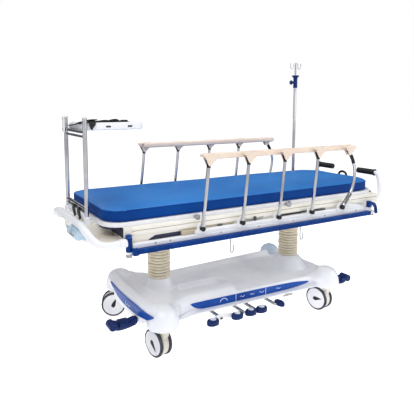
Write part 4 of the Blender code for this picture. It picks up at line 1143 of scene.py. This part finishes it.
HALF_LOOP = ((0.945, 0.05, 0.722), (0.968, 0.05, 0.722), (0.982, 0.048, 0.729), (0.985, 0.042, 0.75),
             (0.985, 0.036, 0.79), (0.985, 0.032, 0.812), (0.985, 0.02, 0.825), (0.985, 0.0, 0.829))
make("release_handle", tube(spline(mirrored(HALF_LOOP), 6), 0.0078, 20), "black", "release",
     ("release_loop",), 40)
clips = [box((0.95, 0.972), (s * 0.255 - 0.012, s * 0.255 + 0.012), (0.722, 0.7325), 0.002) for s in (-1, 1)]
make("deck_head_clips", join(*clips), "dark", "backrest")

# ---- mattress
X0, X1, HALF_Y, Z0, Z1 = -0.93, 0.97, 0.3275, 0.7545, 0.814
FOOT_R, HEAD_R = 0.105, 0.185
MAX_SWELL = 0.007
CLOTH_FRAMES = 20


def mattress_outline(inset):
    """Plan of the mattress with its round corners, drawn in by an inset."""
    head_y, foot_y = HALF_Y - HEAD_R, HALF_Y - FOOT_R
    corners = ((X1 - HEAD_R, head_y, HEAD_R, 0), (X0 + FOOT_R, foot_y, FOOT_R, 90),
               (X0 + FOOT_R, -foot_y, FOOT_R, 180), (X1 - HEAD_R, -head_y, HEAD_R, 270))
    return [p for cx, cy, r, start in corners for p in arc(cx, cy, r - inset, start, 90, 12)]


levels = ((0.01, Z0), (0.004, Z0 + 0.003), (0.003, Z0 + 0.008), (0.003, Z1 - 0.01), (0.005, Z1 - 0.005),
          (0.011, Z1 - 0.002))
mattress = new_object("mattress", loft([(z, mattress_outline(inset)) for inset, z in levels]))
modifier(mattress, "cells", "REMESH", mode="VOXEL", voxel_size=0.0095)
apply_modifiers(mattress)
rest = [v.co.copy() for v in mattress.data.vertices]
cloth = mattress.modifiers.new("swell", "CLOTH")
cloth.settings.use_pressure = True
cloth.settings.uniform_pressure_force = 4.0
cloth.settings.effector_weights.gravity = 0.0
cloth.settings.quality = 4
for n in range(CLOTH_FRAMES):
    scene.frame_set(n + 1)
swollen = evaluated(mattress)
mattress.modifiers.clear()
for v, was in zip(swollen.vertices, rest):
    move = v.co - was
    if move.length > MAX_SWELL:
        move *= MAX_SWELL / move.length
    v.co = was + move
    v.co.z = max(v.co.z, Z0)
mattress.data = swollen
scene.frame_set(1)
mesh = mattress.data
centre = (X0 + X1) / 2
for v in mesh.vertices:
    x, y, z = v.co
    if z > (Z0 + Z1) / 2:
        u, w = (x - centre) / ((X1 - X0) / 2), y / HALF_Y
        crown = 0.004 * (1 - u ** 6) * (1 - w ** 4)
        waves = 0.0012 * math.sin(9.0 * x + 2.0 * math.sin(7 * y)) * math.cos(8.0 * y + 1.3 * x)
        v.co.z = z + max(crown, 0) + waves
mesh.materials.clear()
for key in ("vinyl_lit_top", "vinyl_shaded_side"):
    mesh.materials.append(M[key])
shade_smooth(mesh)
# faces that look up take the lighter copy and all others the darker one: painted light on top, painted shade on the
# sides
for p in mesh.polygons:
    p.material_index = 0 if p.normal.z > 0.55 and p.center.z > 0.79 else 1
modifier(mattress, "fine", "SUBSURF", levels=1, render_levels=1)
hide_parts("mattress_seat", "mattress_fold", "mattress_back")
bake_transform(mattress)


def dense(points, step=0.012):
    """A closed path with points no further apart than a step."""
    out = []
    for a, b in zip(points, points[1:] + points[:1]):
        a, b = Vector(a), Vector(b)
        count = max(1, int((b - a).length / step))
        out += [a.lerp(b, k / count) for k in range(count)]
    return out


surface = BVHTree.FromPolygons([v.co for v in mesh.vertices], [tuple(p.vertices) for p in mesh.polygons])


def on_pad(points):
    """The points brought onto the swollen pad's surface."""
    return [surface.find_nearest(p)[0] for p in points]


for name, z, inset in (("upper", Z1 - 0.0045, -0.001), ("lower", Z0 + 0.0035, 0.0005)):
    cord = sweep(on_pad(dense([(x, y, z) for x, y in mattress_outline(inset)])), circle(0.003, 10), True, (0, 0, 1))
    # the piping takes the darker copy of the cloth, the painted-shade one
    piping = make(f"mattress_piping_{name}", cord, "vinyl_shaded_side", None, (), 60)
    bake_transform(piping)

# ---- studio
disc = bmesh.new()
bmesh.ops.create_circle(disc, cap_ends=True, segments=96, radius=40.0)
floor = new_object("studio_floor", disc)
floor.location.z = -0.0005
shade_smooth(floor.data)
n = material("studio_paper")
n.fill(n.shader, {"Emission Color": WHITE})
# in metal reflections only, the far floor ahead of the camera goes dark, as a studio flag would make it
AHEAD, FLAG_EDGES = (0.4945, 0.869, 0.0), (0.15, 0.55)
ahead = n.add("VectorMath", {0: n.coord}, operation="NORMALIZE")
toward = n.add("VectorMath", {0: ahead.outputs["Vector"], 1: AHEAD}, operation="DOT_PRODUCT")
flag = n.ramp(toward.outputs["Value"], (FLAG_EDGES[0], BLACK), (FLAG_EDGES[1], WHITE))
flag = n.mix(1.0, flag, n.add("LightPath").outputs["Is Glossy Ray"], "MULTIPLY")
lit = n.mix(n.add("LightPath").outputs["Is Camera Ray"], n.span(flag, 0.44, 0.0), grey(0.72))
n.fill(n.shader, {"Emission Strength": lit})
paper = n.ramp(n.noise(0.8), (0.3, "f6f6f8"), (0.7, "fcfcfd"))
floor.data.materials.append(n.finish(n.mix(n.span(flag, 0.0, 0.85), paper, "3c3e44"),
                                     n.span(n.noise(3.0), 0.75, 0.9), n.bump(n.noise(200.0), 0.02, 0.0005)))

scene.world = bpy.data.worlds.new("studio_world")
w = Nodes(scene.world, "Generated")
height = w.add("SeparateXYZ", {0: w.coord})
sky = w.tree.nodes["Background"]
w.fill(sky, {"Strength": 0.45,
             "Color": w.ramp(height.outputs["Z"], (0.0, (0.3, 0.31, 0.33, 1)), (0.3, (0.95, 0.96, 1.0, 1)))})
along = w.add("VectorMath", {0: w.coord, 1: AHEAD}, operation="DOT_PRODUCT")
dark_ahead = w.ramp(along.outputs["Value"], (FLAG_EDGES[0], (0.92, 0.94, 1.0, 1)),
                    (FLAG_EDGES[1], (0.06, 0.06, 0.08, 1)))
rays, last = w.add("LightPath"), sky
for ray, colour in (("Is Glossy Ray", dark_ahead), ("Is Camera Ray", WHITE)):
    shader = w.add("Background", {"Color": colour})
    last = w.add("MixShader", {"Fac": rays.outputs[ray], 1: last.outputs[0], 2: shader.outputs[0]})
w.fill(w.tree.nodes["World Output"], {"Surface": last.outputs[0]})


def area(name, at, aim, size, power, colour=(1, 1, 1)):
    data = bpy.data.lights.new(name, "AREA")
    data.shape = "RECTANGLE"
    data.size, data.size_y = size
    data.energy = power
    data.color = colour
    lamp = bpy.data.objects.new(name, data)
    lamp.location = at
    lamp.rotation_euler = (Vector(aim) - Vector(at)).to_track_quat("-Z", "Y").to_euler()
    scene.collection.objects.link(lamp)


area("key", (-2.2, -2.2, 3.4), (0, 0, 0.5), (2.2, 1.8), 52)
area("fill", (3.0, -2.6, 2.0), (0.1, 0, 0.6), (2.4, 2.0), 32, (0.95, 0.97, 1.0))
area("top", (0.2, 0.4, 4.2), (0, 0, 0.6), (3.5, 2.6), 68)
area("back", (-1.2, 3.0, 2.6), (0, 0, 0.6), (3.0, 1.4), 12)
scene.view_settings.view_transform = "Standard"
scene.view_settings.look = "None"
